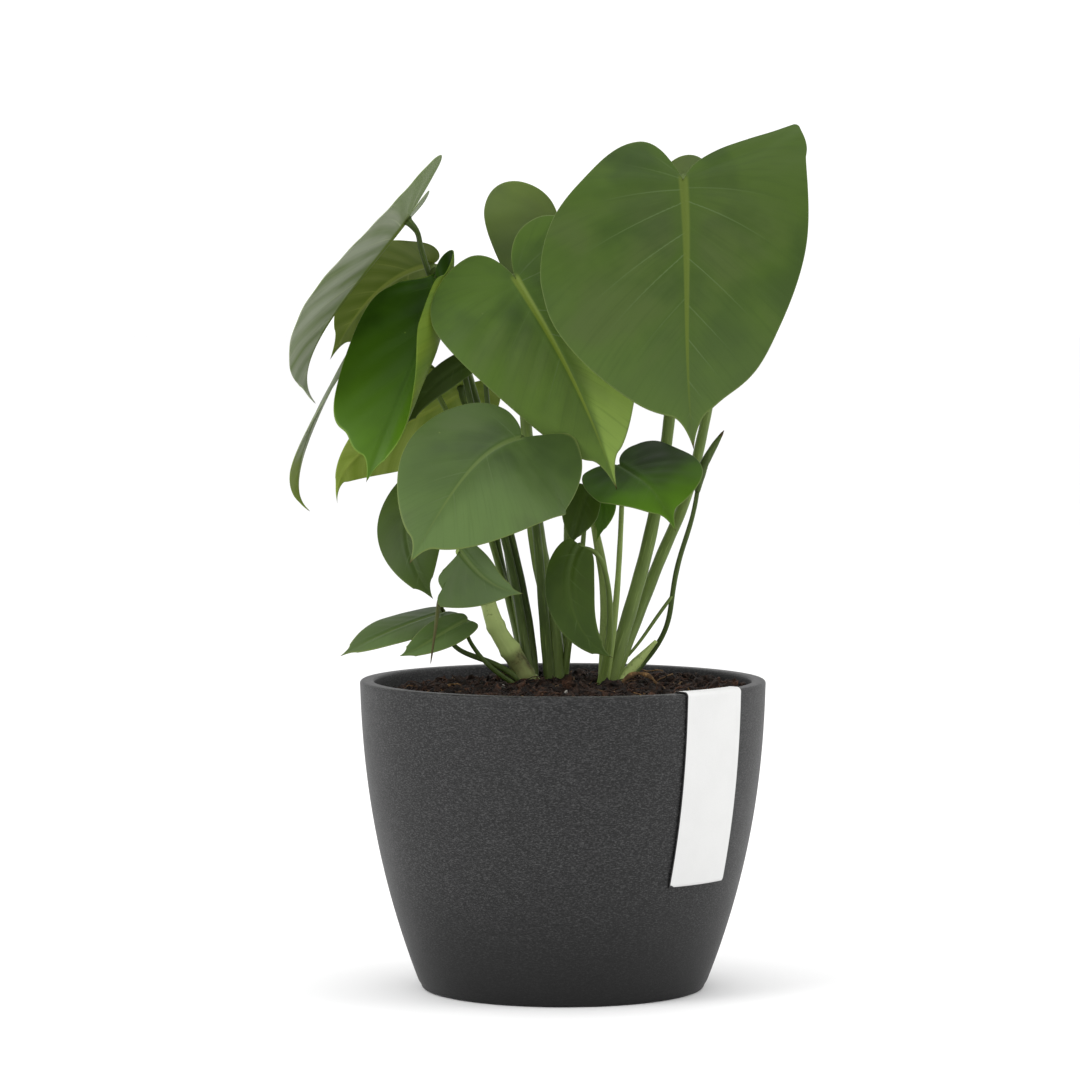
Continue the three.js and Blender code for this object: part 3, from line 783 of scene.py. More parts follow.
@dataclass(frozen=True)
class Half:
    """One half of a blade, seen from its upper side with the tip down.

    Attributes:
        width: Greatest distance of the margin from the midrib.
        widest: Where that is, as a share of the midrib.
        lobe: How far the lobe reaches back behind the notch.
        lobe_at: Where the lobe is highest, as a share of the width.
        crown: How full the lobe is on its inner side.
        full: How long the side stays wide on its way to the tip.
        pinch: How blunt the side is where the drip tip begins.
        fold: How steeply the half stands up from the midrib, in degrees.
        furl: How much steeper it stands at the tip.
        curl: How far it bends up on its way out to the margin, in degrees.
        bumps: Places on the margin, as shares of it, and how far it stands out there.
    """

    width: float
    widest: float = 0.2
    lobe: float = 0.0
    lobe_at: float = 0.45
    crown: float = 1.0
    full: float = 0.45
    pinch: float = 0.3
    fold: float = 4.0
    furl: float = 0.0
    curl: float = -12.0
    bumps: tuple[tuple[float, float], ...] = ()

    BUMP_WIDTH: ClassVar[float] = 0.055
    OUTLINE_SHARES: ClassVar[tuple[float, ...]] = (0.0, 0.2, 0.46, 0.9, 1.0)

    def outline(self, rows: Array, length: float, neck: float, drip: float) -> Array:
        """Follows the margin round the lobe, down the side and along the drip tip.

        Args:
            rows: Shares of the margin, from 0 at the notch to 1 at the tip.
            length: Length of the midrib.
            neck: Half width where the drip tip begins.
            drip: Length of the drip tip.

        Returns:
            For each row, how far out and how far along the midrib the margin is.
        """
        crest = (self.lobe_at * self.width, -self.lobe)
        side = (self.width, self.widest * length)
        end = (neck, length - drip)
        reach = side[1] - crest[1]
        blunt = self.pinch * side[0]
        shoulder = (blunt, end[1] - 0.3 * (blunt - neck))
        runs = [
            [(0, 0), (0.1 * crest[0], 0.65 * crest[1]), (0.5 * crest[0], self.crown * crest[1]), crest],
            [crest, ((crest[0] + side[0]) / 2, crest[1]), (side[0], side[1] - 0.55 * reach), side],
            [side, (side[0], side[1] + self.full * (end[1] - side[1])), shoulder, end],
            [end, (0.5 * neck, end[1] + 0.13 * drip), (0.17 * neck, end[1] + 0.55 * drip), (0, length)],
        ]
        places = np.zeros((len(rows), 2))
        for run, low, high in zip(runs, self.OUTLINE_SHARES, self.OUTLINE_SHARES[1:]):
            inside = (rows >= low) & (rows <= high)
            corners = [np.array(corner, float) for corner in run]
            places[inside] = bezier(corners, (rows[inside] - low) / (high - low))
        outward = unit(np.gradient(places, axis=0)) @ np.array([[0.0, -1.0], [1.0, 0.0]])
        for middle, height in self.bumps:
            places += outward * (height * bell(rows, middle, self.BUMP_WIDTH))[:, None]
        places[:, 0] = np.maximum(places[:, 0], 0.02)
        return places


@dataclass(frozen=True)
class Blade:
    """A leaf blade, laid out from its midrib in rows that run as the side veins do.

    Attributes:
        name: The node that it replaces.
        finish: Its skin.
        spine: Four points that the midrib passes through, from the notch to the tip.
        face: The way its upper side looks, at the notch and at the tip.
        neck: Half width where the drip tip begins.
        drip: Length of the drip tip.
        left: Its left half.
        right: Its right half.
        quilt: Half the depth of the hollows that its side veins run in.
        wave: How far the margin waves up and down.
        recurve: How strongly its lobes bend down behind the notch.
        seed: Makes its veins and waves its own.
    """

    name: str
    finish: LeafFinish
    spine: tuple[Point, Point, Point, Point]
    face: tuple[Point, Point]
    neck: float
    drip: float
    left: Half
    right: Half
    quilt: float = 0.22
    wave: float = 0.8
    recurve: float = 0.0
    seed: float = 0.0

    THICKNESS: ClassVar[float] = 0.6
    KEEL: ClassVar[float] = 0.9
    ROW_POWER: ClassVar[float] = 2.2
    VEIN_STARTS: ClassVar[tuple[float, ...]] = (
        -0.012, -0.006, 0.0, 0.035, 0.09, 0.19, 0.32, 0.46, 0.61, 0.76, 0.9, 1.05, 1.2
    )
    VEIN_SLOPES: ClassVar[tuple[float, ...]] = (
        -2.6, -1.15, -0.5, -0.05, 0.38, 0.72, 0.95, 1.12, 1.26, 1.38, 1.48, 1.58, 1.66
    )
    VEIN_BEND: ClassVar[float] = 0.22
    EASE: ClassVar[float] = 0.08
    LARGE: ClassVar[float] = 60.0
    FINE: ClassVar[tuple[int, int]] = (112, 22)
    COARSE: ClassVar[tuple[int, int]] = (64, 12)
    ROUNDING: ClassVar[float] = 0.35
    CHANNEL_DEPTH: ClassVar[float] = 0.35
    CHANNEL_WIDTH: ClassVar[float] = 0.9
    BANK_HEIGHT: ClassVar[float] = 0.28
    BANK_PLACE: ClassVar[float] = 2.1
    BANK_WIDTH: ClassVar[float] = 0.8
    KEEL_WIDTH: ClassVar[float] = 1.35
    GUARD: ClassVar[float] = 1.5
    END_VALUES: ClassVar[dict[str, tuple[float, float]]] = {
        "down": (0, 1), "ahead": (1, 1), "spacing": (4, 4), "vein": (4, 12)
    }
    NEAR_RIB: ClassVar[tuple[float, ...]] = (0.0, 0.45, 0.9, 1.5, 2.3, 3.4)
    NEAR_EDGE: ClassVar[tuple[float, ...]] = (1.1, 0.5, 0.18, 0.04, 0.0)

    @property
    def corners(self) -> list[Array]:
        """The four corners of the Bezier curve that runs through the spine's points."""
        a, b, c, d = (np.array(point, float) for point in self.spine)
        return [a, (-5 * a + 18 * b - 9 * c + 2 * d) / 6, (2 * a - 9 * b + 18 * c - 5 * d) / 6, d]

    @property
    def length(self) -> float:
        """Length of the midrib."""
        return line_length(self.rib_at(np.linspace(0, 1, 201)))

    def rib_at(self, shares: Array) -> Array:
        """Places on the midrib, for shares of its length."""
        return bezier(self.corners, shares)

    def rib_frame(self, shares: Array) -> tuple[Array, Array, Array]:
        """Works out how the blade lies at shares of its length.

        Args:
            shares: Shares of the midrib, from 0 at the notch to 1 at the tip.

        Returns:
            The directions forward, up and sideways there.
        """
        a, b, c, d = self.corners
        t = np.asarray(shares)[..., None]
        s = 1 - t
        forward = unit(s * s * (b - a) + 2 * s * t * (c - b) + t * t * (d - c))
        first, last = (np.array(point, float) for point in self.face)
        face = first + (last - first) * t
        up = unit(face - (face * forward).sum(-1, keepdims=True) * forward)
        return forward, up, np.cross(up, forward)

    def columns(self, reach: Array, count: int) -> Array:
        """Spreads a row's points from the midrib to the edge, closer together at both.

        Args:
            reach: Half width of each row.
            count: Number of points between the two close groups.

        Returns:
            How far out each point is, one line for each row.
        """
        squeeze = np.minimum(1, reach / 14)[:, None]
        inner = np.array(self.NEAR_RIB)[None, :] * squeeze
        outer = reach[:, None] - np.array(self.NEAR_EDGE)[None, :] * squeeze
        shares = np.linspace(0, 1, count + 2)[None, 1:-1]
        middle = inner[:, -1:] * (1 - shares) + outer[:, :1] * shares
        return np.concatenate([inner, middle, outer], axis=1)

    def veins(self, across: Array, along: Array, side: int, width: float) -> tuple[Array, Array]:
        """Works out between which side veins each point lies.

        Args:
            across: Distance from the midrib.
            along: Distance along it from the notch.
            side: 1 for the right half and -1 for the left.
            width: The half's greatest width.

        Returns:
            The number of the vein, with its share of the way to the next, and how far apart they are.
        """
        draw = np.random.default_rng(int(100 * self.seed) + 5 + side)
        starts = np.array(self.VEIN_STARTS) * self.length
        starts[3:] += draw.uniform(-0.25, 0.25, len(starts) - 3) * np.diff(starts)[2:]
        slopes = np.array(self.VEIN_SLOPES) + draw.uniform(-0.04, 0.04, len(starts))
        paths = starts + slopes * across[..., None] + self.VEIN_BEND * across[..., None] ** 2 / width
        number = np.clip((along[..., None] > paths).sum(-1) - 1, 0, len(starts) - 2)
        low = np.take_along_axis(paths, number[..., None], -1)[..., 0]
        high = np.take_along_axis(paths, number[..., None] + 1, -1)[..., 0]
        share = (along - low) / np.maximum(high - low, 0.05)
        slant = np.sqrt(1 + (slopes[number] + 2 * self.VEIN_BEND * across / width) ** 2)
        return number + np.clip(share, -1.5, 2), (high - low) / slant

    def half_sheet(self, half: Half, side: int, rows: Array, count: int) -> dict[str, Array]:
        """Lays out one half of the blade.

        Args:
            half: The half's sizes.
            side: 1 for the right half and -1 for the left.
            rows: Shares of the margin that get a row.
            count: Number of points in the open part of a row.

        Returns:
            The points and their values, each with a line for every row.
        """
        length = self.length
        edge = half.outline(rows, length, self.neck, self.drip)
        reach = np.maximum(edge[:, 0], 1e-3)
        across = self.columns(reach, count)
        share = across / reach[:, None]
        root = (length * rows**self.ROW_POWER)[:, None]
        arc = share + 0.35 * (share**2 - share)
        along = root + (edge[:, 1:] - root) * arc
        down = np.clip(along / length, 0, 1)
        behind = np.minimum(along / length, 0)
        turned = down + self.EASE * (np.exp(behind / self.EASE) - 1)
        _, up, sideways = self.rib_frame(turned)
        forward = self.rib_frame(np.array(0.0))[0]

        bend = math.radians(half.curl) / half.width
        fold = np.radians(half.fold + half.furl * turned)
        angle = fold + bend * across
        out = (np.sin(angle) - np.sin(fold)) / bend
        lift = (np.cos(fold) - np.cos(angle)) / bend

        vein, spacing = self.veins(across, along, side, half.width)
        open_part = smooth(reach, 3, 25)[:, None]
        swell = np.cos(2 * math.pi * vein) * smooth(share, 0.02, 0.25) * smooth(share, 1.0, 0.6)
        relief = -self.quilt * open_part * swell * smooth(spacing, 3, 14)
        edge_wave = ripple(rows[:, None] * 1.9 + side, 0 * share, self.seed + side, 2)
        relief += self.wave * open_part * edge_wave * share**2.5
        relief += self.wave * 0.8 * open_part * ripple(along / 55, across / 60, self.seed + 3 * side, 2) * share
        relief -= self.recurve * np.maximum(0, 4 - along) ** 2 * smooth(share, 0.1, 0.5)
        out -= relief * np.sin(angle)
        lift += relief * np.cos(angle)

        at = self.rib_at(down) + forward * np.minimum(along, 0)[..., None]
        at = at + sideways * (side * out)[..., None] + up * lift[..., None]
        return {
            "at": at,
            "vein": vein,
            "spacing": spacing,
            "share": share,
            "across": side * across,
            "down": down,
            "ahead": smooth(along, -4, 1),
            "margin": reach[:, None] - across,
            "side": np.full(share.shape, float(side > 0)),
        }

    def sheet(self) -> Sheet:
        """Makes the whole blade as one closed thin solid.

        Returns:
            The blade, its upper side, lower side and rounded edge, with the values its skin reads.
        """
        row_count, count = self.FINE if self.length > self.LARGE else self.COARSE
        rows = np.linspace(0, 1, row_count + 1)[1:-1]
        right = self.half_sheet(self.right, 1, rows, count)
        left = self.half_sheet(self.left, -1, rows, count)
        grid = {key: np.concatenate([left[key][:, :0:-1], right[key]], axis=1) for key in right}
        lines, width = grid["share"].shape

        at = np.concatenate([grid.pop("at").reshape(-1, 3), self.rib_at(np.array([0.0, 1.0]))])
        values = {}
        for key, value in grid.items():
            values[key] = np.concatenate([value.reshape(-1), self.END_VALUES.get(key, (0, 0))])
        notch, tip, last = len(at) - 2, len(at) - 1, (lines - 1) * width
        faces = grid_faces(lines, width)
        for column in range(width - 1):
            faces.append((notch, column, column + 1))
            faces.append((tip, last + column + 1, last + column))

        normals = sheet_normals(at, faces)
        column = np.arange(len(at)) % width
        rim = (column == 0) | (column == width - 1)
        rim[[notch, tip]] = True
        margin = np.maximum(values["margin"], 0)
        round_off = np.sqrt(1 - np.clip(1 - margin / self.ROUNDING, 0, 1) ** 2)
        half_thick = self.THICKNESS / 2 * round_off
        across = np.abs(values["across"])
        taper = np.clip(1 - values["down"], 0, 1) * values["ahead"]
        bank = self.BANK_HEIGHT * bell(across, self.BANK_PLACE, self.BANK_WIDTH)
        channel = taper * (bank - self.CHANNEL_DEPTH * bell(across, 0, self.CHANNEL_WIDTH))
        keel = (self.KEEL * taper + 0.1) * bell(across, 0, self.KEEL_WIDTH)
        guard = np.clip(margin / self.GUARD, 0, 1)
        upper = at + normals * (half_thick + channel * guard)[:, None]
        lower = at - normals * (half_thick + keel * guard)[:, None]
        upper[rim] = at[rim]

        lower_index = np.arange(len(at))
        inner = np.flatnonzero(~rim)
        lower_index[inner] = len(at) + np.arange(len(inner))
        points = np.concatenate([upper, lower[inner]])
        underside = [tuple(int(lower_index[i]) for i in reversed(face)) for face in faces]
        for key in values:
            values[key] = np.concatenate([values[key], values[key][inner]])
        values["under"] = np.concatenate([np.where(rim, 0.5, 0.0), np.ones(len(inner))])
        return Sheet(points, faces + underside, values)

    def build(self) -> Object:
        """Makes the blade and dresses it."""
        return make_piece(f"{self.name}_skin", self.sheet(), self.finish.material(), Slot.LEAF, [self.name])


class Tint(Enum):
    """How a stalk is coloured: green from deep to fresh, pallor of its sheath, and age."""

    DEEP = (0.15, 0.05, 0.0)
    GREEN = (0.5, 0.15, 0.0)
    FRESH = (0.8, 0.35, 0.0)
    SHEATH = (1.0, 0.9, 0.05)
    PALE = (0.8, 1.0, 0.05)
    WILTED = (0.1, 0.1, 0.5)
    DRY = (0.3, 0.2, 1.0)


@dataclass(frozen=True)
class Stalk:
    """One leaf stalk, from the crown outwards.

    Attributes:
        radii: Its radius at evenly spaced places.
        points: The places it passes through.
        to: The blade that it carries, if any.
        tint: How it is coloured.
        sheath: How much wider than round its foot is.
        knots: How many scar rings it has.
    """

    radii: tuple[float, ...]
    points: tuple[Point, ...]
    to: str = ""
    tint: Tint = Tint.GREEN
    sheath: float = 0.0
    knots: int = 0

    SIDES: ClassVar[int] = 20
    STEP: ClassVar[float] = 1.8
    JOINT: ClassVar[float] = 6.0
    UNDER: ClassVar[float] = 0.5
    SOFTENING: ClassVar[int] = 30
    SWELL: ClassVar[float] = 0.22
    SWELL_PLACE: ClassVar[tuple[float, float]] = (5.0, 4.5)
    FLARE: ClassVar[float] = 1.1
    FLARE_REACH: ClassVar[float] = 1.8
    KNOT: ClassVar[float] = 0.16
    KNOT_REACH: ClassVar[float] = 1.8
    GROOVE: ClassVar[float] = 0.13
    GROOVE_PLACE: ClassVar[tuple[float, float]] = (0.5, 0.09)
    FOOT: ClassVar[float] = 0.55

    def line(self, blades: dict[str, Blade]) -> Array:
        """Collects the points of the stalk's line.

        Args:
            blades: The blades by name.

        Returns:
            The points, with the last two under the blade's notch if the stalk has a blade.
        """
        points = [np.array(point, float) for point in self.points]
        if self.to:
            blade = blades[self.to]
            up = blade.rib_frame(np.array([0.0]))[1][0]
            notch = blade.rib_at(np.array([0.0]))[0]
            joint = 0.4 + Blade.KEEL + GAP + self.JOINT
            points += [notch - up * joint, notch - up * self.UNDER]
        return np.array(points)

    def sheet(self, blades: dict[str, Blade]) -> Sheet:
        """Makes the stalk as a closed tube with a groove, a swollen joint and a wide foot.

        Args:
            blades: The blades by name.

        Returns:
            The tube, with the values its skin reads.
        """
        path = smooth_line(self.line(blades))
        total = line_length(path)
        at, runs = spaced(path, max(8, int(total / self.STEP)) + 1)
        for _ in range(self.SOFTENING):
            at[1:-1] = 0.25 * at[:-2] + 0.5 * at[1:-1] + 0.25 * at[2:]
        radius = tapering(self.radii, runs)
        along = runs * total
        if self.to:
            radius *= 1 + self.SWELL * bell(total - along, *self.SWELL_PLACE)
            radius *= 1 + self.FLARE * np.exp((along - total) / self.FLARE_REACH)
        for knot in range(self.knots):
            spot = (knot + 0.6) / (self.knots + 0.6) * total
            radius *= 1 + self.KNOT * bell(along, spot, self.KNOT_REACH)
        radius *= 1 + 0.02 * np.sin(along / 3.1 + len(self.points))
        turns = np.arange(self.SIDES) / self.SIDES
        groove = 1 - self.GROOVE * bell(turns, *self.GROOVE_PLACE) * smooth(runs, 0.1, 0.4)[:, None]
        flare = 1 + self.sheath * smooth(runs, 0.35, 0.0)[:, None] * np.cos(4 * math.pi * turns)
        ring = rings(at, radius[:, None] * groove * flare, turns)
        tint, pallor, aged = self.tint.value
        bare = self.FOOT * smooth(runs, 0.3, 0.0)[:, None]
        worn = self.FOOT * (self.knots > 0) * smooth(runs, 0.3, 0.12)[:, None]
        values = {
            "tint": tint,
            "pallor": np.maximum(pallor, bare * (0.3 + pallor)),
            "aged": np.maximum(aged, worn),
            "run": along[:, None],
            "turn": turns,
        }
        return tube(ring, at[0], at[-1], values)


def smooth_line(points: Array, fine: int = 24) -> Array:
    """Runs a centripetal Catmull-Rom curve through points.

    Args:
        points: The points it passes through.
        fine: Steps between two points.

    Returns:
        The points of the fine line.
    """
    padded = np.concatenate([[2 * points[0] - points[1]], points, [2 * points[-1] - points[-2]]])
    result = []
    for k in range(1, len(padded) - 2):
        p = padded[k - 1 : k + 3]
        gaps = np.maximum(np.linalg.norm(np.diff(p, axis=0), axis=1) ** 0.5, 1e-4)
        first = (p[1] - p[0]) / gaps[0] - (p[2] - p[0]) / (gaps[0] + gaps[1]) + (p[2] - p[1]) / gaps[1]
        second = (p[2] - p[1]) / gaps[1] - (p[3] - p[1]) / (gaps[1] + gaps[2]) + (p[3] - p[2]) / gaps[2]
        first, second = first * gaps[1], second * gaps[1]
        t = np.arange(fine)[:, None] / fine
        cubic = 2 * p[1] - 2 * p[2] + first + second
        square = -3 * p[1] + 3 * p[2] - 2 * first - second
        result.append(p[1] + first * t + square * t**2 + cubic * t**3)
    return np.concatenate([*result, points[-1:]])


def line_length(line: Array) -> float:
    """Length of a line of points."""
    return float(np.linalg.norm(np.diff(line, axis=0), axis=1).sum())


def runs_along(line: Array) -> Array:
    """Length of a line of points from its start to each of them."""
    return np.concatenate([[0], np.cumsum(np.linalg.norm(np.diff(line, axis=0), axis=1))])


def tapering(radii: Sequence[float], runs: Array) -> Array:
    """Radius at shares of the way along a line, from a few evenly spaced ones."""
    return np.interp(runs * (len(radii) - 1), np.arange(len(radii)), radii)


def spaced(line: Array, count: int) -> tuple[Array, Array]:
    """Spreads points evenly along a line.

    Args:
        line: The fine line.
        count: How many points to spread.

    Returns:
        The points, and the share of the length at each.
    """
    far = runs_along(line)
    runs = np.linspace(0, 1, count)
    return np.stack([np.interp(runs * far[-1], far, line[:, k]) for k in range(3)], axis=1), runs


def rings(at: Array, spokes: Array, turns: Array) -> Array:
    """Stands a ring of points round each point of a line, without twist.

    Args:
        at: The line's points.
        spokes: How far out each ring's points are.
        turns: Where they stand, as shares of a turn.

    Returns:
        The points, by ring and side.
    """
    tangent = unit(np.gradient(at, axis=0))
    normal = np.zeros_like(at)
    start = np.array([0.0, 1.0, 0.0]) if abs(tangent[0][1]) < 0.9 else np.array([1.0, 0.0, 0.0])
    for k, along in enumerate(tangent):
        start = start - (start @ along) * along
        start = start / np.linalg.norm(start)
        normal[k] = start
    angle = 2 * math.pi * turns
    ring = at[:, None] + normal[:, None] * (spokes * np.cos(angle))[..., None]
    return ring + np.cross(tangent, normal)[:, None] * (spokes * np.sin(angle))[..., None]


def tube(
    ring: Array, first: Array, last: Array, values: dict[str, Array | float] | None = None
) -> Sheet:
    """Closes rings of points into a solid with a point at each end.

    Args:
        ring: The points, by ring and side.
        first: The point at the start.
        last: The point at the end.
        values: Values of the points, or of whole rings or sides.

    Returns:
        The closed solid.
    """
    count, sides = ring.shape[:2]
    k, i = np.meshgrid(np.arange(count - 1), np.arange(sides), indexing="ij")
    j = (i + 1) % sides
    quads = np.stack([k * sides + i, k * sides + j, (k + 1) * sides + j, (k + 1) * sides + i], axis=-1)
    faces = [tuple(map(int, quad)) for quad in quads.reshape(-1, 4)]
    start, end = count * sides, count * sides + 1
    for side in range(sides):
        after = (side + 1) % sides
        faces.append((start, after, side))
        faces.append((end, (count - 1) * sides + side, (count - 1) * sides + after))
    points = np.concatenate([ring.reshape(-1, 3), [first, last]])
    flat = {}
    for key, value in (values or {}).items():
        value = np.broadcast_to(value, (count, sides))
        flat[key] = np.concatenate([value.reshape(-1), [value[0].mean(), value[-1].mean()]])
    return Sheet(points, faces, flat)


@dataclass(frozen=True)
class Plantlet:
    """One plantlet's crown and all its leaf stalks."""

    name: str
    crown: tuple[float, float]
    stalks: tuple[Stalk, ...]

    SIDES: ClassVar[int] = 36
    HEIGHTS: ClassVar[tuple[float, ...]] = (-26, -16, 0, 5, 9)
    RADII: ClassVar[tuple[float, ...]] = (5.9, 8.4, 8.2, 6.2, 3.2)

    def build(self, blades: dict[str, Blade], material: Material) -> Object:
        """Makes the stalks and the crown as one piece.

        Args:
            blades: The blades by name.
            material: The stalks' skin.

        Returns:
            The new object.
        """
        sheet = Sheet.joined([self.crown_sheet(), *(stalk.sheet(blades) for stalk in self.stalks)])
        return make_piece(f"{self.name}_skin", sheet, material, Slot.STALK, [self.name])

    def crown_sheet(self) -> Sheet:
        """Makes the crown.

        Returns:
            A short ribbed cone of leaf bases that stands in the soil.
        """
        x, y = self.crown
        heights = np.linspace(self.HEIGHTS[0], self.HEIGHTS[-1], self.SIDES)[:, None]
        turns = np.arange(self.SIDES) / self.SIDES
        angle = 2 * math.pi * turns
        lobes = 1 + 0.09 * np.cos(5 * angle + x) + 0.05 * np.cos(9 * angle + y)
        rough = 1 + 0.05 * ripple(heights / 14, turns * 3, x, 2)
        radius = np.interp(heights, self.HEIGHTS, self.RADII) * lobes * rough
        ring = around(radius, Soil.level + heights, angle) + np.array([x, y, 0])
        values = {
            "tint": 0.5,
            "pallor": 0.7,
            "aged": 0.35 + 0.5 * (ripple(turns * 2, heights / 20, y, 2) > 0.1),
            "run": heights + 30,
            "turn": turns,
        }
        return tube(ring, ring[0].mean(0), ring[-1].mean(0), values)


@dataclass(frozen=True)
class RolledLeaf:
    """A leaf that is still rolled up, or dried into a spike."""

    name: str
    radii: tuple[float, ...]
    points: tuple[Point, ...]
    slot: Slot
    tint: Tint
    wrap: float = 0.18

    RINGS: ClassVar[int] = 60
    SIDES: ClassVar[int] = 32
    WINDINGS: ClassVar[float] = 0.8

    def build(self, material: Material) -> Object:
        """Makes the roll, with the step of its outer margin winding round it.

        Args:
            material: Its skin.

        Returns:
            The new object.
        """
        path = smooth_line(np.array(self.points, float))
        at, runs = spaced(path, self.RINGS)
        radius = tapering(self.radii, runs)
        radius *= np.sqrt(np.clip((1 - runs) / 0.06, 0, 1)) * 0.94 + 0.06
        turns = np.arange(self.SIDES) / self.SIDES
        wound = (turns + runs[:, None] * self.WINDINGS) % 1
        ring = rings(at, radius[:, None] * (1 - self.wrap / 2 + self.wrap * wound), turns)
        tint, pallor, aged = self.tint.value
        values = {
            "tint": tint,
            "pallor": pallor,
            "aged": np.maximum(aged, smooth(runs, 0.8, 1.0)[:, None]),
            "run": (runs * line_length(path))[:, None],
            "turn": wound,
        }
        sheet = tube(ring, at[0], at[-1], values)
        return make_piece(f"{self.name}_skin", sheet, material, self.slot, [self.name])


@dataclass(frozen=True)
class Pot:
    """The round tapering pot with its rounded lip."""

    height: float = 152.0
    rim_radius: float = 100.0
    foot_radius: float = 70.0
    lean: float = 4.0
    power: float = 2.2
    wall: float = 7.0
    floor: float = 9.0
    edge: float = 1.4
    sides: int = 256
    rows: int = 56
    uneven: float = 0.12

    def radius(self, z: Array | float) -> Array:
        """Works out the outer radius.

        Args:
            z: Heights over the foot.

        Returns:
            The radius at each.
        """
        down = np.maximum(0, 1 - np.asarray(z, float) / self.height)
        belly = self.rim_radius - self.foot_radius - self.lean
        return self.rim_radius - self.lean * down - belly * down**self.power

    def inner_radius(self, z: Array | float) -> Array:
        """Radius of the inner wall at a height."""
        return self.radius(z) - self.wall

    def profile(self) -> Array:
        """Follows the wall from the underside's middle, round the lip and down inside.

        Returns:
            Pairs of radius and height.
        """
        e = self.edge
        bends = np.linspace(0, math.pi / 2, 6)
        foot = self.radius(0)
        places = [(foot * share, 0.0) for share in np.linspace(0.02, 1, 10) if foot * share < foot - e]
        places += [(foot - e + e * math.sin(b), e - e * math.cos(b)) for b in bends]
        for z in np.linspace(e, self.height - e, self.rows)[1:-1]:
            places.append((float(self.radius(z)), float(z)))
        rim = float(self.radius(self.height))
        places += [(rim - e + e * math.cos(b), self.height - e + e * math.sin(b)) for b in bends]
        places += [(rim - self.wall + e - e * math.sin(b), self.height - e + e * math.cos(b)) for b in bends]
        for z in np.linspace(self.height - e, self.floor, self.rows)[1:]:
            places.append((float(self.inner_radius(z)), float(z)))
        places += [(float(self.inner_radius(self.floor)) * share, self.floor) for share in np.linspace(0.8, 0.02, 8)]
        return np.array(places)

    def build(self) -> Object:
        """Makes the pot.

        Returns:
            The object, with the slight unevenness of a moulded wall.
        """
        profile = self.profile()
        turns = np.arange(self.sides) / self.sides
        angle = 2 * math.pi * turns
        sway = np.sin(3 * angle + profile[:, 1:] / 40) * (profile[:, :1] > self.foot_radius - 10) - 1
        radius = profile[:, :1] + self.uneven * sway
        ring = around(radius, profile[:, 1:], angle)
        sheet = tube(ring, np.zeros(3), np.array([0, 0, self.floor]))
        return make_piece("pot_shell", sheet, CompositeFinish().material(), Slot.POT, ["pot"])


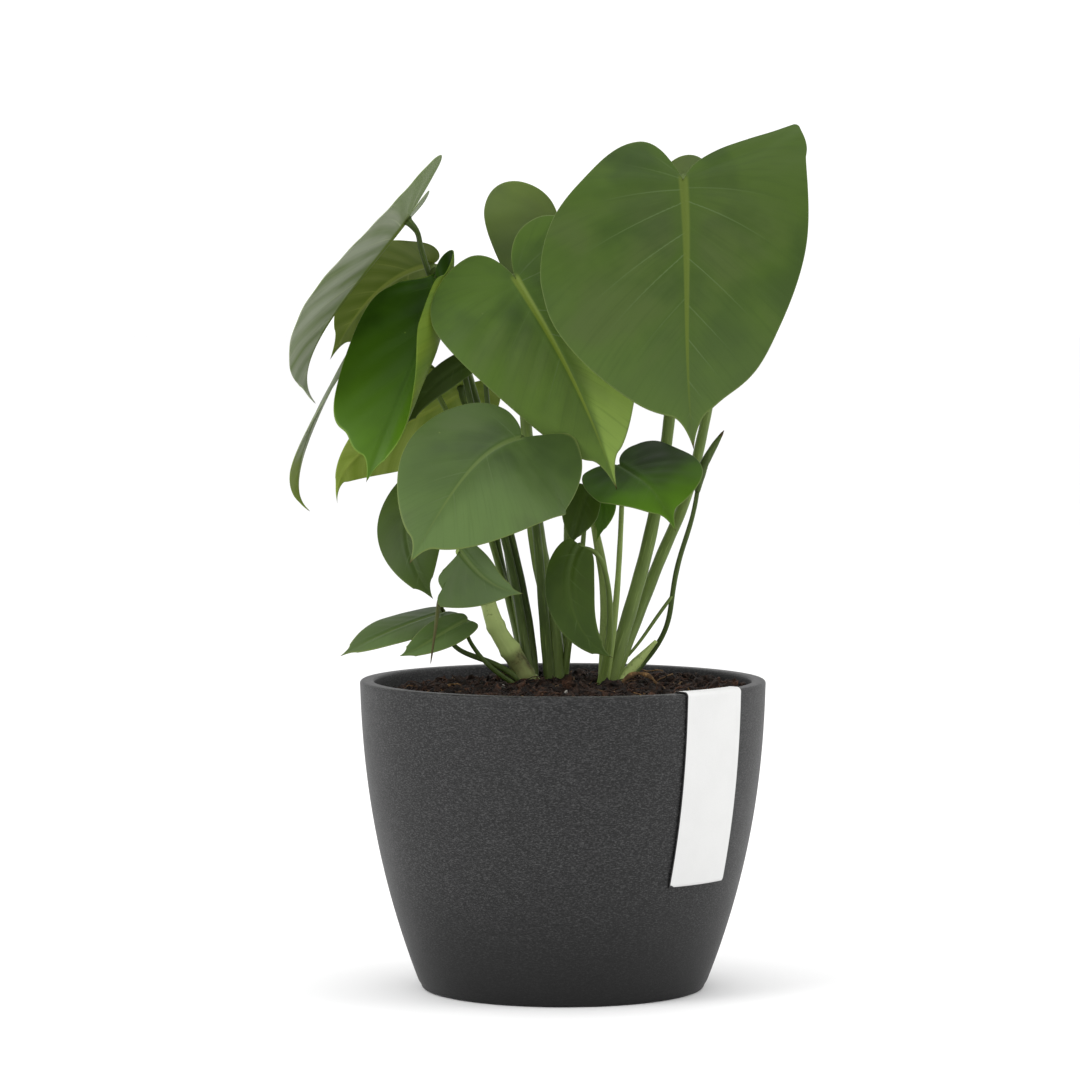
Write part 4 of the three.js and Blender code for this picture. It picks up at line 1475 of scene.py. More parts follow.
@dataclass
class Soil:
    """The filled soil: its mounded surface and the crumbs, fibres and bits that lie in it.

    Attributes:
        pot: The pot that it fills.
        level: Height of the surface at the wall.
        mound: How much higher it is in the middle.
        dip: How much lower it is at the back.
        waves: Height, pitch to the right, pitch to the back and start of its soft waves.
        grit: Height of its fine unevenness.
        clear: Gap to the pot's wall.
        sides: Points in a ring of the bed.
        rows: Rings of its surface.
        jagged: How uneven a crumb is.
        sunk: How high a crumb's middle is over the surface, as a share of its size.
        thread_points: Points along a fibre.
        root_line: Places on the bare root.
        seed: Starts the random draws.
    """

    pot: Pot
    level: float = 146.0
    mound: float = 5.0
    dip: float = 7.0
    waves: tuple[tuple[float, ...], ...] = ((0.9, 0.21, 0.17, 1.3), (0.55, -0.27, 0.39, 0.0))
    grit: float = 0.9
    clear: float = 0.45
    sides: int = 220
    rows: int = 64
    jagged: float = 0.32
    sunk: float = 0.15
    thread_points: int = 8
    root_line: tuple[Point, ...] = (
        (27, -20, 147), (30, -20, 153.5), (36, -18, 156.5), (42, -17, 155), (46, -16, 151), (50, -16, 147)
    )
    seed: int = 7

    def __post_init__(self) -> None:
        """Starts the random draws."""
        self.draw = np.random.default_rng(self.seed)

    def height(self, x: Array, y: Array) -> Array:
        """Works out the height of the surface, without its grit.

        Args:
            x: Places to the right of the pot's middle.
            y: Places behind it.

        Returns:
            The height at each.
        """
        reach = np.minimum(1, np.hypot(x, y) / self.pot.rim_radius)
        back = np.clip((0.75 * y - 0.66 * x) / self.pot.rim_radius, 0, 1)
        level = self.level + self.mound * (1 - reach**2) - self.dip * back**2
        return level + sum(high * np.sin(along * x + aside * y + start) for high, along, aside, start in self.waves)

    def surface(self, x: Array, y: Array) -> Array:
        """Height of the surface with its grit."""
        grit = ripple(x / 16, y / 16, 2.0, 4) + 0.5 * ripple(x / 5, y / 5, 5.0, 3)
        return self.height(x, y) + self.grit * grit

    def build(self) -> list[Object]:
        """Makes the bed and everything that lies in it.

        Returns:
            The new objects.
        """
        peat = GroundFinish().material()
        rust = GroundFinish("rust_fibre", "1e140e", "412a1c", "604630").material()
        tan = GroundFinish("tan_bits", "4a3722", "7c5f3a", "a3855a").material()
        white = GroundFinish("perlite", "8f8b84", "cfcdc8", "e2e0dc").material()
        return [
            self.bed(peat),
            self.crumbs("soil_crumbs", 1500, (0.9, 3.2), 0.7, peat),
            self.crumbs("soil_bark", 260, (1.6, 4.6), 0.35, rust),
            self.crumbs("soil_chips", 46, (0.8, 2.0), 0.5, tan),
            self.crumbs("soil_perlite", 16, (0.7, 1.4), 0.85, white),
            self.fibres("soil_fibres", 620, (0.18, 0.42), (6, 24), rust),
            self.fibres("soil_straws", 60, (0.2, 0.45), (8, 26), tan),
            self.root(tan),
        ]

    def root(self, material: Material) -> Object:
        """Makes the bare root that arches out of the soil.

        Args:
            material: Its finish.

        Returns:
            The object, in front of the right plantlet.
        """
        at, runs = spaced(smooth_line(np.array(self.root_line, float)), 40)
        turns = np.arange(12) / 12
        thick = (1.25 + 0.3 * np.sin(runs * 23) - 0.5 * runs)[:, None]
        ring = rings(at, thick * (1 + 0.1 * np.cos(6 * math.pi * turns)), turns)
        return make_piece("soil_root", tube(ring, at[0], at[-1]), material, Slot.SOIL)

    def bed(self, material: Material) -> Object:
        """Makes the filled bed.

        Args:
            material: Its finish.

        Returns:
            The object, from the pot's floor up to the lumpy surface.
        """
        turns = 2 * math.pi * np.arange(self.sides) / self.sides
        heights = np.linspace(self.pot.floor + GAP, self.level - self.dip - 3, 12)[:, None]
        wall = around(self.pot.inner_radius(heights) - self.clear, heights, turns)
        rim = float(self.pot.inner_radius(self.level - self.dip)) - self.clear
        cover = around(rim * np.linspace(1, 0.01, self.rows)[:, None], 0.0, turns)
        cover[..., 2] = self.surface(cover[..., 0], cover[..., 1])
        middle = float(self.surface(np.array(0.0), np.array(0.0)))
        ring = np.concatenate([wall, cover])
        sheet = tube(ring, np.array([0, 0, self.pot.floor + GAP]), np.array([0, 0, middle]))
        return make_piece("soil_bed", sheet, material, Slot.SOIL, ["soil"])

    def spot(self, margin: float) -> tuple[float, float, float]:
        """Draws a place on the surface.

        Args:
            margin: How far from the wall it stays.

        Returns:
            The place.
        """
        radius = (self.pot.inner_radius(self.level) - margin) * math.sqrt(self.draw.random())
        turn = self.draw.random() * 2 * math.pi
        x, y = float(radius * math.cos(turn)), float(radius * math.sin(turn))
        return x, y, float(self.surface(np.array(x), np.array(y)))

    def crumbs(
        self, name: str, count: int, sizes: tuple[float, float], flatness: float, material: Material
    ) -> Object:
        """Scatters broken lumps over the surface.

        Args:
            name: The piece's name.
            count: How many there are.
            sizes: Smallest and largest radius.
            flatness: Height of a lump as a share of its width.
            material: Their finish.

        Returns:
            One object that holds them all.
        """
        ball = ball_sheet(2)
        lumps = []
        for _ in range(count):
            size = sizes[0] + (sizes[1] - sizes[0]) * self.draw.random() ** 2.2
            x, y, z = self.spot(size + 0.8)
            shape = ball.points * (1 + self.jagged * self.draw.standard_normal(len(ball.points)).clip(-1, 1)[:, None])
            shape = shape * np.array([1, 0.55 + 0.45 * self.draw.random(), flatness]) * size
            tilt = (0.5 * self.draw.standard_normal(), 0.5 * self.draw.standard_normal(), 6.3 * self.draw.random())
            shape = shape @ np.array(Euler(tilt).to_matrix()).T
            lumps.append(Sheet(shape + np.array([x, y, z + self.sunk * size]), ball.faces))
        return make_piece(name, Sheet.joined(lumps), material, Slot.SOIL, flat=True)

    def fibres(
        self,
        name: str,
        count: int,
        radii: tuple[float, float],
        lengths: tuple[float, float],
        material: Material,
    ) -> Object:
        """Scatters bent fibres over the surface.

        Args:
            name: The piece's name.
            count: How many there are.
            radii: Smallest and largest radius.
            lengths: Smallest and largest length.
            material: Their finish.

        Returns:
            One object that holds them all.
        """
        threads = []
        steps = np.linspace(-0.5, 0.5, self.thread_points)
        for _ in range(count):
            length = lengths[0] + (lengths[1] - lengths[0]) * self.draw.random() ** 1.5
            x, y, _ = self.spot(length / 2 + 2)
            turn, bend = 6.3 * self.draw.random(), 0.9 * self.draw.standard_normal()
            turns = turn + bend * steps
            step = length / (self.thread_points - 1)
            xs = x + np.concatenate([[0], np.cumsum(np.cos(turns[1:]) * step)]) - math.cos(turn) * length / 2
            ys = y + np.concatenate([[0], np.cumsum(np.sin(turns[1:]) * step)]) - math.sin(turn) * length / 2
            arch = 0.3 + 2.2 * self.draw.random() ** 3
            zs = self.surface(xs, ys) + 0.4 + arch * (1 - (2 * steps) ** 2)
            at = np.stack([xs, ys, zs], -1)
            radius = radii[0] + (radii[1] - radii[0]) * self.draw.random()
            spokes = radius * (1 - 0.6 * np.abs(2 * steps) ** 3)
            threads.append(tube(rings(at, spokes[:, None], np.arange(5) / 5), at[0], at[-1]))
        return make_piece(name, Sheet.joined(threads), material, Slot.SOIL)


def ball_sheet(level: int) -> Sheet:
    """Makes a ball of triangles with radius 1.

    Args:
        level: How fine it is, from 1 for twenty faces.

    Returns:
        The ball.
    """
    form = bmesh.new()
    bmesh.ops.create_icosphere(form, subdivisions=level, radius=1.0)
    points = np.array([tuple(vertex.co) for vertex in form.verts])
    faces = [tuple(vertex.index for vertex in face.verts) for face in form.faces]
    form.free()
    return Sheet(points, faces)


@dataclass(frozen=True)
class Tag:
    """The white card: tucked in behind the rim, over it and down the wall outside."""

    pot: Pot
    width: float = 39.5
    drop: float = 94.0
    tuck: float = 11.0
    thickness: float = 0.55
    angle: float = 47.0
    clear: float = 0.35
    bow: float = 0.03

    def build(self) -> Object:
        """Makes the card.

        Returns:
            The object, with a rounded bend over each edge of the lip.
        """
        away = GAP + self.clear
        height, wall, edge = self.pot.height, self.pot.wall, self.pot.edge
        bend = edge + away
        rim = float(self.pot.radius(height))
        inside = np.linspace(height - self.tuck, height - 1.6, 8)
        corner = np.linspace(0, math.pi / 2, 8)
        outside = np.linspace(height - 3, height - self.drop, 48)
        path = [(float(self.pot.inner_radius(z)) - away, z) for z in inside]
        path += [(rim - wall + edge - bend * math.cos(b), height - edge + bend * math.sin(b)) for b in corner]
        path += [(rim - edge + bend * math.sin(b), height - edge + bend * math.cos(b)) for b in corner]
        path += [(float(self.pot.radius(z)) + away, z) for z in outside]
        line = np.array(path)
        steps = runs_along(line)
        columns = np.concatenate([[-0.5, -0.494], np.linspace(-0.482, 0.482, 19), [0.494, 0.5]])
        turn = math.radians(self.angle) + columns * self.width / line[:, :1]
        radius = line[:, :1] + self.bow * np.sin(np.pi * (columns + 0.5)) * smooth(steps, 20, 60)[:, None]
        at = np.stack([radius * np.sin(turn), -radius * np.cos(turn), line[:, 1:] + 0 * turn], -1)
        rows, width = turn.shape
        faces = grid_faces(rows, width)
        points = at.reshape(-1, 3)
        normals = sheet_normals(points, faces)
        margin = np.minimum((0.5 - np.abs(columns)) * self.width, (steps[-1] - steps)[:, None]).reshape(-1)
        count = len(points)
        half = normals * self.thickness / 2
        under = [tuple(count + i for i in reversed(face)) for face in faces]
        loop = [i * width + width - 1 for i in range(rows - 1)]
        loop += [(rows - 1) * width + j for j in range(width - 1, 0, -1)]
        loop += [i * width for i in range(rows - 1, 0, -1)]
        loop += list(range(width - 1))
        rim_faces = [(a, b, count + b, count + a) for a, b in zip(loop, loop[1:] + loop[:1])]
        body = np.concatenate([points + half, points - half])
        sheet = Sheet(body, faces + under + rim_faces, {"margin": np.concatenate([margin, margin])})
        return make_piece("tag_card", sheet, CardFinish().material(), Slot.TAG, ["tag"])


@dataclass(frozen=True)
class Studio:
    """Camera, floor and soft light."""

    place: Point = (-11.3, -2400.0, 360.0)
    pitch: float = 3.32
    focal_pixels: float = 4888.0
    sensor: float = 36.0
    floor_radius: float = 20.0
    floor_level: float = -0.0002
    ambient: float = 1.15
    aim: Point = (0.0, 0.0, 0.22)

    LAMPS: ClassVar[tuple[tuple[str, Point, float, float], ...]] = (
        ("key_softbox", (-1.9, -1.4, 1.4), 1.3, 32),
        ("side_softbox", (2.3, -0.5, 1.1), 1.3, 17),
        ("top_softbox", (0.2, 0.2, 2.6), 1.6, 10),
    )

    def build(self) -> None:
        """Sets up everything round the plant."""
        self.camera()
        self.floor()
        self.world()
        for lamp in self.LAMPS:
            self.lamp(*lamp)
        bpy.context.scene.view_settings.view_transform = "Standard"

    def camera(self) -> None:
        """Stands the camera where the photographer stood."""
        data = bpy.data.cameras.new("portrait_camera")
        data.sensor_width = self.sensor
        data.lens = self.focal_pixels * self.sensor / PHOTO_SIDE
        data.clip_end = 100
        camera = stand("portrait_camera", data)
        camera.location = Vector(self.place) * MM
        camera.rotation_euler = Euler((math.radians(90 - self.pitch), 0, 0))
        bpy.context.scene.camera = camera

    def floor(self) -> None:
        """Lays a wide round floor under the pot."""
        turns = np.linspace(0, 2 * math.pi, 97)[:-1]
        points = [(self.floor_radius * math.cos(t), self.floor_radius * math.sin(t), 0.0) for t in turns]
        mesh = bpy.data.meshes.new("studio_floor")
        mesh.from_pydata(points, [], [tuple(range(len(points)))])
        mesh.materials.append(FloorFinish().material())
        floor = stand("studio_floor", mesh)
        floor.location.z = self.floor_level

    def world(self) -> None:
        """Surrounds the plant with even white light."""
        world = bpy.data.worlds.new("white_studio")
        world.use_nodes = True
        background = world.node_tree.nodes["Background"]
        background.inputs["Color"].default_value = (1, 1, 1, 1)
        background.inputs["Strength"].default_value = self.ambient
        bpy.context.scene.world = world

    def lamp(self, name: str, place: Point, size: float, power: float) -> None:
        """Hangs a large soft lamp that faces the plant.

        Args:
            name: The lamp's name.
            place: Where it hangs, in metres.
            size: Width of its square, in metres.
            power: Its power, in watts.
        """
        data = bpy.data.lights.new(name, "AREA")
        data.size = size
        data.energy = power
        lamp = stand(name, data)
        lamp.location = place
        lamp.rotation_euler = (Vector(self.aim) - Vector(place)).to_track_quat("-Z", "Y").to_euler()


GREY_GREEN = LeafFinish(
    "leaf_grey_green", deep="293a15", bright="374c14", painted_sheen="404a29", pale="4c5f30", tip_light_share=0.55,
)
FRESH_GREEN = LeafFinish(
    "leaf_fresh_green", deep="2b3d17", bright="3f5718", painted_sheen="404e26", pale="7b9343", rib="5d6d24",
    rib_width=2.0, tip_light_share=0.16, right_light_share=0.7, seed=4.4,
)
GLOSSY_GREEN = LeafFinish(
    "leaf_glossy_green", deep="1d2f08", bright="37570a", painted_sheen="243708", pale="4a6c0c", rib="3f5816",
    rib_width=1.2, rib_share=0.4, vein_share=0.15, painted_sheen_share=0.15, shine=0.48, seed=7.7,
)
DULL_GREEN = LeafFinish(
    "leaf_dull_green", deep="2e3e1c", bright="3b4f20", painted_sheen="424f2f", pale="53683a", vein="4c5c38",
    rib="506030", rib_width=1.2, rib_share=0.7, vein_share=0.5, edge_share=0.85, painted_sheen_share=0.6, tip_light_share=0.6,
    right_light_share=0.6, seed=5.9,
)
# A paler copy of the leaf green: painted light, making up for the shade that the leaves at the back sit in.
LIGHTENED_BACK_GREEN = LeafFinish(
    "leaf_back_green_painted_light", deep="526139", bright="5e7036", painted_sheen="65704a", pale="62733e", vein="606d40",
    rib="606d30", rib_share=0.5, vein_share=0.4, edge_share=0.3, seed=1.3,
)
# Olive underside: partly its own colour and partly a painted glow of light shining through the blade from behind.
OLIVE_GLOW = LeafFinish(
    "leaf_olive_under_painted_glow", under="4e5d1b", bright="43560f", rib="66722f", vein="58662a", margin="6a7734",
    band_share=0.25, seed=1.3,
)
DEEP = LeafFinish(
    "leaf_deep_green", deep="1c3406", bright="305008", painted_sheen="283e0e", under="5b6e1e", pale="46680e",
    rib="3b5a12", vein="4c6420", margin="6b8430", rib_width=1.2, rib_share=0.3, vein_share=0.12, edge_share=0.6,
    painted_sheen_share=0.3, tip_light_share=0.75, shine=0.36, seed=2.1,
)
# A darker copy of the leaf green, with painted shade, for the leaves that sit in shade inside the plant.
PAINTED_SHADE_GREEN = LeafFinish(
    "leaf_painted_shade_green", deep="24330e", bright="334611", painted_sheen="2f3b15", under="3a481c", pale="36491a",
    rib="3b4c1c", margin="4c5c2a", rib_width=1.2, rib_share=0.4, vein_share=0.3, seed=8.3,
)
# Pale grey-green undersides: the grey is partly the underside's own colour and partly a painted sheen standing in for
# the reflection at a glancing angle.
UNDER_SHEEN = LeafFinish(
    "leaf_under_painted_sheen", under="788066", bright="5b6c3c", vein="8f9583", margin="9aa283", band_share=0.55,
    lobe_share=0.8, seed=0.6,
)
EDGE = replace(UNDER_SHEEN, name="leaf_edge_painted_sheen", pale="6a7c28", end_share=0.92)
# Pale yellow-green underside: partly its own colour and partly a painted glow of light shining through the blade from
# behind.
PALE = LeafFinish(
    "leaf_pale_painted_glow", deep="48591c", bright="5b7023", under="6f812d", margin="8b9a48", vein="7c8c40", rib="7b8a38",
    band_share=0.3, seed=3.2,
)

BLADES = (
    Blade(
        "leaf_tall_right", GREY_GREEN,
        ((58, -30, 397), (59, -52, 357), (59, -66, 315), (62, -70, 268)), ((0, -0.9, 0.4), (0.05, -1, 0.1)),
        9, 15.5,
        Half(71, 0.4, 23, 0.3, full=0.42, pinch=0.5, fold=2,
             bumps=((0.06, -1.4), (0.19, 3.2), (0.31, -2.4), (0.5, -1.2), (0.84, 0.8))),
        Half(63, -0.08, 31, 0.92, crown=0.6, full=0.52, pinch=0.5, fold=2,
             bumps=((0.06, -1.2), (0.22, 1.5), (0.48, -2.2), (0.75, 1.2), (0.85, -2.2))),
        recurve=0.003,
    ),
    Blade(
        "leaf_right_back", LIGHTENED_BACK_GREEN,
        ((75, 44, 400), (78, 54, 379), (80, 56, 357), (82, 52, 336)), ((0, -0.9, 0.4), (0, -1, 0.1)),
        5.5, 11.5, Half(34, lobe=19), Half(32, lobe=6),
    ),
    Blade(
        "leaf_back_centre", LIGHTENED_BACK_GREEN,
        ((-2, 45, 378), (-3, 54, 354), (-4, 54, 328), (-6, 48, 302)), ((0, -0.8, 0.6), (0, -1, 0)),
        5.5, 11.5, Half(38, 0, 18, 0.5, full=0.2, pinch=0.1), Half(34, 0.1, 16),
    ),
    Blade(
        "leaf_centre_tall", FRESH_GREEN,
        ((-23, -16, 349), (-8, -28, 324), (9, -36, 291), (26, -40, 247)), ((-0.1, -0.9, 0.45), (0.1, -1, 0.1)),
        7, 13.5, Half(47, 0.02, 23, 0.33, full=0.3, pinch=0.6, fold=0),
        Half(49, 0.14, 26, 0.5, full=0.5, pinch=0.3, fold=2),
    ),
    Blade(
        "leaf_left_top", UNDER_SHEEN,
        ((-77, 5, 378), (-103, 0, 345), (-123, -6, 313), (-121, -8, 288)), ((-0.75, 0.13, 0.6), (-0.9, 0.25, 0.2)),
        6, 14.5, Half(38, 0.15, 19, 0.5, fold=12, furl=40),
        Half(45, 0.36, 31, 0.6, crown=1.2, full=0.55, pinch=0.5, fold=9.5, curl=-10, bumps=((0.17, 3), (0.3, -2))),
        wave=1.4,
    ),
    Blade(
        "leaf_left_arched", OLIVE_GLOW,
        ((-66, 62, 356), (-86, 70, 348), (-103, 70, 332), (-117, 62, 308)), ((0.1, 0.55, 0.85), (-0.4, 0.8, 0.3)),
        5.5, 11.5, Half(28, lobe=10), Half(28, lobe=10),
    ),
    Blade(
        "leaf_left_front", DEEP,
        ((-63, 14, 352), (-68, 6, 322), (-83, -11, 283), (-96, -20, 250)),
        ((-0.15, -0.95, 0.25), (-0.2, -0.95, 0.1)),
        6, 16,
        Half(35, 0.42, -5, 0.45, full=0.85, pinch=0.62, fold=0, curl=-10,
             bumps=((0.28, -2.5), (0.76, -2.2), (0.87, 1.5))),
        Half(33, 0.36, 10, 0.55, full=0.25, pinch=0.1, fold=0, curl=175),
    ),
    Blade(
        "leaf_left_edge", EDGE,
        ((-97, 34, 329), (-114, 28, 299), (-130, 22, 261), (-125, 16, 234)), ((-0.88, 0, 0.45), (-0.9, 0.1, 0.1)),
        4, 10.5, Half(11, 0.4, 5, fold=2), Half(12, 0.72, 5, fold=-30, furl=62, full=0.6),
    ),
    Blade(
        "leaf_inner_dark", PAINTED_SHADE_GREEN,
        ((-41, 1, 311), (-54, 8, 304), (-68, 17, 292), (-81, 15, 273)), ((-0.2, -0.95, 0.2), (-0.2, -0.95, 0.2)),
        4, 8.5, Half(7, 0.4, 3), Half(7, 0.4, 3),
    ),
    Blade(
        "leaf_left_under", PALE,
        ((-50, 50, 294), (-71, 58, 281), (-101, 60, 262), (-113, 52, 236)), ((0.2, 0.9, 0.4), (-0.1, 1, 0.1)),
        2.6, 13, Half(26, 0.35, 10, full=0.3, pinch=0.3, fold=2, curl=-6),
        Half(25, 0.15, 10, full=0.1, pinch=0.12, fold=2, curl=-6),
    ),
    Blade(
        "leaf_front_centre", DULL_GREEN,
        ((-21, -55, 273), (-39, -73, 264), (-55, -89, 245), (-73, -97, 215)),
        ((-0.1, -0.85, 0.5), (-0.1, -0.95, 0.2)),
        7, 9.5, Half(37, 0.32, 6, 0.45, full=0.5, pinch=0.5, fold=-4),
        Half(47, 0.18, 30, 0.22, full=0.5, pinch=0.6, fold=-2, bumps=((0.15, 2.5),)), quilt=0.12,
    ),
    Blade(
        "leaf_left_low", PAINTED_SHADE_GREEN,
        ((-66, -10, 250), (-76, -22, 232), (-73, -32, 212), (-63, -36, 194)),
        ((-0.5, -0.8, 0.3), (-0.1, -0.95, 0.2)),
        5.5, 10.5, Half(16, 0.35, 6), Half(20, 0.35, 6, full=0.55),
    ),
    Blade(
        "leaf_front_small", DULL_GREEN,
        ((-50, -44, 218), (-42, -51, 209), (-32, -59, 202), (-19, -68, 199)),
        ((-0.4, -0.75, 0.3), (-0.46, -0.85, 0.17)),
        4, 8.5, Half(25, 0.29, -2, 0.5, full=0.05, pinch=0.1, bumps=((0.34, -4),)), Half(9, 0.3, 4),
    ),
    Blade(
        "leaf_low_left", DULL_GREEN,
        ((-58, -10, 186), (-76, -26, 181), (-92, -38, 175), (-108, -44, 167)),
        ((-0.2, -0.4, 0.9), (-0.3, -0.6, 0.7)),
        4, 8.5, Half(15, 0.35, 3), Half(15, 0.35, 3),
    ),
    Blade(
        "leaf_low_near", DULL_GREEN,
        ((-47, -29, 183), (-58, -39, 178), (-69, -48, 172), (-79, -55, 168)),
        ((-0.1, -0.7, 0.7), (-0.2, -0.8, 0.5)),
        4, 8.5, Half(10, 0.3, 3), Half(10, 0.3, 3),
    ),
    Blade(
        "leaf_right_small", GLOSSY_GREEN,
        ((28, -18, 258), (38, -34, 252), (46, -48, 244), (54, -58, 228)), ((0.1, -0.8, 0.6), (0.1, -0.9, 0.4)),
        5.5, 10.5, Half(25, 0.3, 9, 0.6, full=0.4, pinch=0.35),
        Half(30, 0.33, 9, 0.55, crown=1.3, full=0.6, pinch=0.6, bumps=((0.3, 2),)),
    ),
    Blade(
        "leaf_hanging", PAINTED_SHADE_GREEN,
        ((8, -40, 220), (3, -48, 202), (8, -53, 182), (24, -54, 167)), ((0, -1, 0.2), (0, -1, 0.1)),
        4, 8.5, Half(12, 0.35, 1, full=0.5), Half(12, 0.35, 1, full=0.5),
    ),
    Blade(
        "leaf_inner_small", PAINTED_SHADE_GREEN,
        ((12, -14, 246), (9, -18, 238), (6, -22, 228), (4, -24, 219)), ((0, -1, 0.3), (0, -1, 0.1)),
        3, 6.5, Half(9, 0.4, 2), Half(9, 0.4, 2),
    ),
    Blade(
        "leaf_inner_back", DEEP,
        ((15, 6, 248), (18, 4, 240), (19, 3, 231), (16, 4, 219)), ((0.2, -1, 0.2), (0.1, -1, 0)),
        3, 6.5, Half(8, 0.4, 2), Half(8, 0.4, 2),
    ),
)

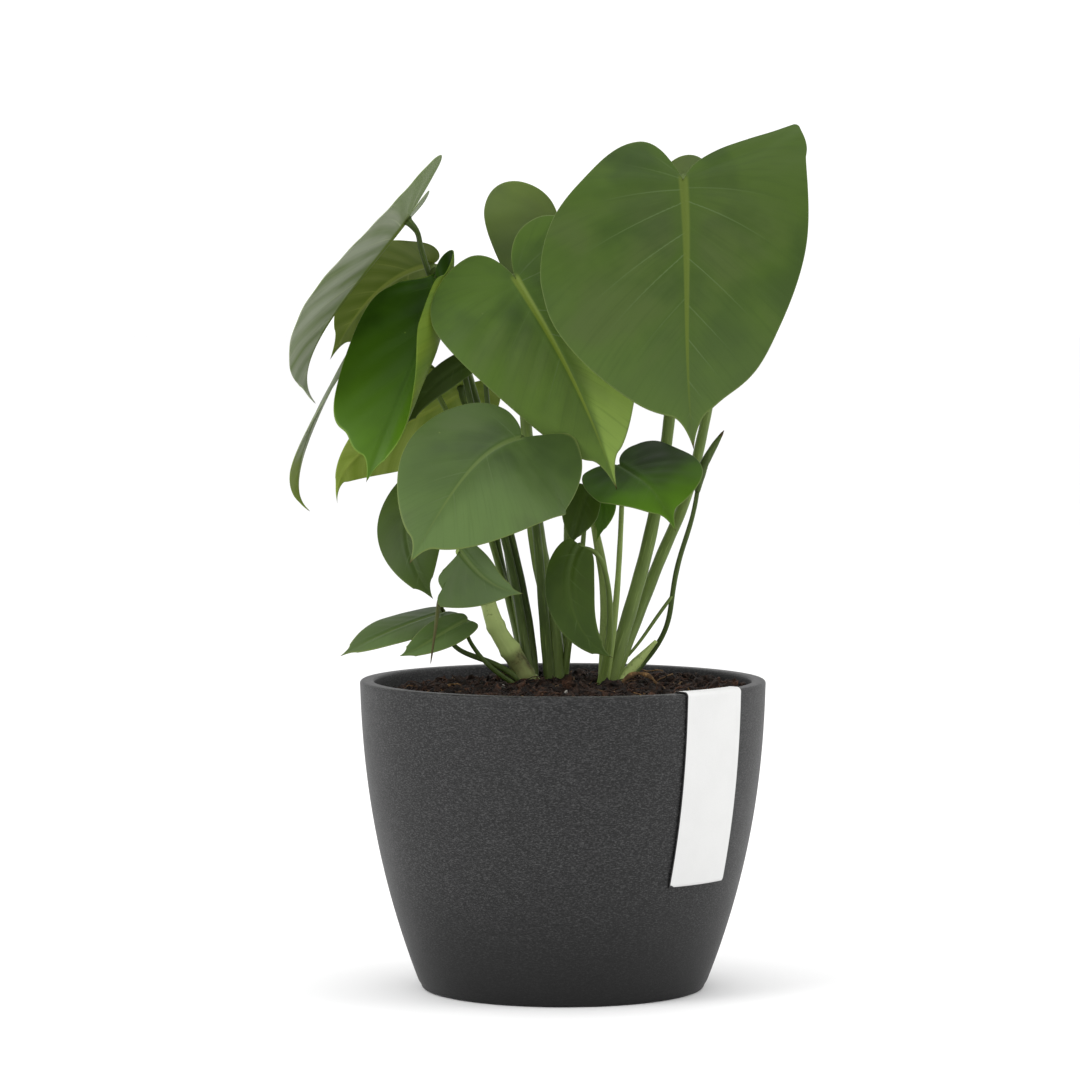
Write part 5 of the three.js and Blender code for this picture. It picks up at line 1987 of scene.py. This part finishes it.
PLANTLETS = (
    Plantlet("stalks_right", (22, -10), (
        Stalk((4.2, 3.2, 2.6, 1.9), ((22, -12, 149), (25, -12, 160), (33, -8, 187), (40, -2, 211), (46, 2, 238),
              (52, 4, 277), (55, 2, 319), (57, -8, 363)), "leaf_tall_right", Tint.GREEN, 0.12),
        Stalk((3.6, 2.8, 2.2, 1.6), ((23, -6, 148), (29, -4, 164), (38, 4, 186), (49, 12, 213), (61, 20, 240),
              (69, 32, 269), (76, 50, 305), (78, 62, 340), (77, 58, 372)), "leaf_right_back", Tint.GREEN, 0.1),
        Stalk((2, 1.4, 1.1), ((20, -16, 149), (23, -18, 166), (26, -16, 192), (28, -12, 222), (29, -6, 244)),
              "leaf_right_small", Tint.FRESH),
        Stalk((2.2, 1.4, 1), ((18, -18, 149), (22, -26, 169), (23, -30, 188), (21, -34, 206), (17, -36, 218),
              (13, -36, 221)), "leaf_hanging", Tint.GREEN),
        Stalk((3.4, 3, 2.2, 1), ((20, -6, 147), (21, 0, 171), (21, 4, 196), (18, 6, 215), (15, 8, 230)),
              "leaf_inner_back", Tint.FRESH, 0.1),
        Stalk((1.6, 1.3, 1.3, 1.1), ((24, -4, 146), (38, 8, 157), (46, 8, 167), (52, 6, 178), (54, 4, 195),
              (57, 2, 211), (62, 0, 226), (65, -1, 237), (66, -2, 245)), "", Tint.DEEP),
        Stalk((0.9, 0.9, 0.7), ((54, 4, 193), (45, 2, 181), (37, 0, 169), (32, -4, 164)), "", Tint.GREEN),
        Stalk((3, 2.6, 0.9), ((26, -4, 150), (36, 0, 160), (46, 1, 171)), "", Tint.SHEATH, 0.2),
    )),
    Plantlet("stalks_centre", (-3, 8), (
        Stalk((5.2, 4.4, 2.6, 1.7), ((-3, 6, 146), (-4, 6, 166), (-7, 6, 191), (-12, 6, 215), (-16, 6, 250),
              (-19, 8, 289), (-22, 8, 324)), "leaf_centre_tall", Tint.GREEN, 0.12),
        Stalk((3, 2.4, 1.9, 1.4), ((-1, 12, 146), (0, 16, 165), (2, 20, 190), (3, 30, 219), (2, 42, 264),
              (0, 58, 305), (-2, 66, 335), (-2, 59, 362)), "leaf_back_centre", Tint.GREEN),
        Stalk((3, 2.4, 1.8, 1.4), ((-6, 2, 147), (-8, 0, 167), (-10, -4, 191), (-12, -8, 216), (-15, -18, 241),
              (-19, -31, 261)), "leaf_front_centre", Tint.DEEP),
        Stalk((2, 1.4, 1), ((0, 6, 146), (3, 4, 171), (7, 0, 196), (10, -4, 221)), "leaf_inner_small", Tint.GREEN),
    )),
    Plantlet("stalks_left", (-16, -6), (
        Stalk((2.8, 2.2, 1.6, 1.3), ((-14, 0, 147), (-16, 6, 171), (-21, 10, 200), (-28, 14, 230), (-36, 20, 264),
              (-46, 26, 299), (-58, 28, 329), (-66, 24, 351), (-71, 18, 366)), "leaf_left_top", Tint.DEEP),
        Stalk((2.6, 2, 1.6, 1.3), ((-16, -4, 147), (-19, 0, 171), (-24, 6, 201), (-31, 10, 230), (-40, 14, 265),
              (-46, 15, 290), (-50, 18, 308), (-55, 20, 326), (-60, 21, 341)), "leaf_left_front", Tint.DEEP),
        Stalk((2.4, 1.8, 1.5, 1.3), ((-15, 0, 147), (-20, 10, 171), (-26, 20, 205), (-32, 28, 239), (-40, 36, 278),
              (-52, 46, 318), (-62, 56, 340)), "leaf_left_arched", Tint.GREEN),
        Stalk((5.6, 4.2, 2, 1.2), ((-16, -6, 148), (-24, -8, 165), (-33, -8, 177), (-37, -8, 192), (-43, -6, 209),
              (-52, -4, 228), (-60, -4, 242)), "leaf_left_low", Tint.PALE, 0.06, 8),
        Stalk((1.8, 1.4, 1.1), ((-37, -8, 191), (-40, -16, 201), (-45, -26, 209)), "leaf_front_small", Tint.FRESH),
        Stalk((1.8, 1.3, 1), ((-19, -10, 151), (-31, -12, 160), (-46, -12, 165), (-53, -10, 167), (-57, -6, 172)),
              "leaf_low_left", Tint.DEEP),
        Stalk((1.4, 1.1, 0.9), ((-20, -11, 148), (-39, -18, 162), (-44, -18, 170)), "leaf_low_near", Tint.DEEP),
        Stalk((2.2, 1.8, 1.3), ((-16, 2, 147), (-23, 14, 175), (-31, 26, 209), (-37, 36, 244), (-44, 42, 274),
              (-49, 42, 287)), "leaf_left_under", Tint.DEEP),
        Stalk((2, 1.5, 1.1), ((-16, 0, 147), (-21, 10, 181), (-27, 14, 210), (-32, 16, 249), (-37, 16, 284)),
              "leaf_inner_dark", Tint.DEEP),
        Stalk((2, 1.6, 1.1), ((-16, 0, 147), (-20, 8, 176), (-26, 14, 210), (-31, 16, 232)), "", Tint.DRY),
        Stalk((2, 1.5, 1.1), ((-16, 2, 147), (-24, 14, 180), (-34, 26, 214), (-46, 34, 254), (-61, 44, 289),
              (-73, 46, 307), (-84, 42, 319)), "leaf_left_edge", Tint.GREEN),
    )),
)

ROLLED_LEAVES = (
    RolledLeaf("leaf_rolled_right", (1.3, 2.4, 2.2, 1.6, 0.4),
               ((65.9, -2, 244.6), (68, -2, 255), (73, -3, 265), (79, -4, 275)), Slot.ROLLED, Tint.DEEP),
    RolledLeaf("leaf_rolled_low", (0.9, 1.2, 0.9, 0.3),
               ((-59, -13, 187), (-60, -32, 193), (-61, -50, 186), (-64, -56, 164)), Slot.DRY, Tint.WILTED),
)


@dataclass(frozen=True)
class Foliage:
    """All leaf blades, plantlets and rolled leaves."""

    blades: tuple[Blade, ...] = BLADES
    plantlets: tuple[Plantlet, ...] = PLANTLETS
    rolled: tuple[RolledLeaf, ...] = ROLLED_LEAVES
    seed_step: float = 0.37

    def build(self) -> None:
        """Makes every blade, stalk and rolled leaf, each blade with a seed of its own."""
        blades = {blade.name: replace(blade, seed=self.seed_step * k) for k, blade in enumerate(self.blades)}
        for blade in blades.values():
            blade.build()
        skin = StalkFinish().material()
        for plantlet in self.plantlets:
            plantlet.build(blades, skin)
        for leaf in self.rolled:
            leaf.build(skin)


def main() -> None:
    """Builds the studio, the planter and the plant."""
    logging.basicConfig(level=logging.INFO, format="%(name)s %(message)s", stream=sys.stdout)
    Studio().build()
    pot = Pot()
    pot.build()
    Soil(pot).build()
    Tag(pot).build()
    Foliage().build()


if __name__ == "__main__":
    main()
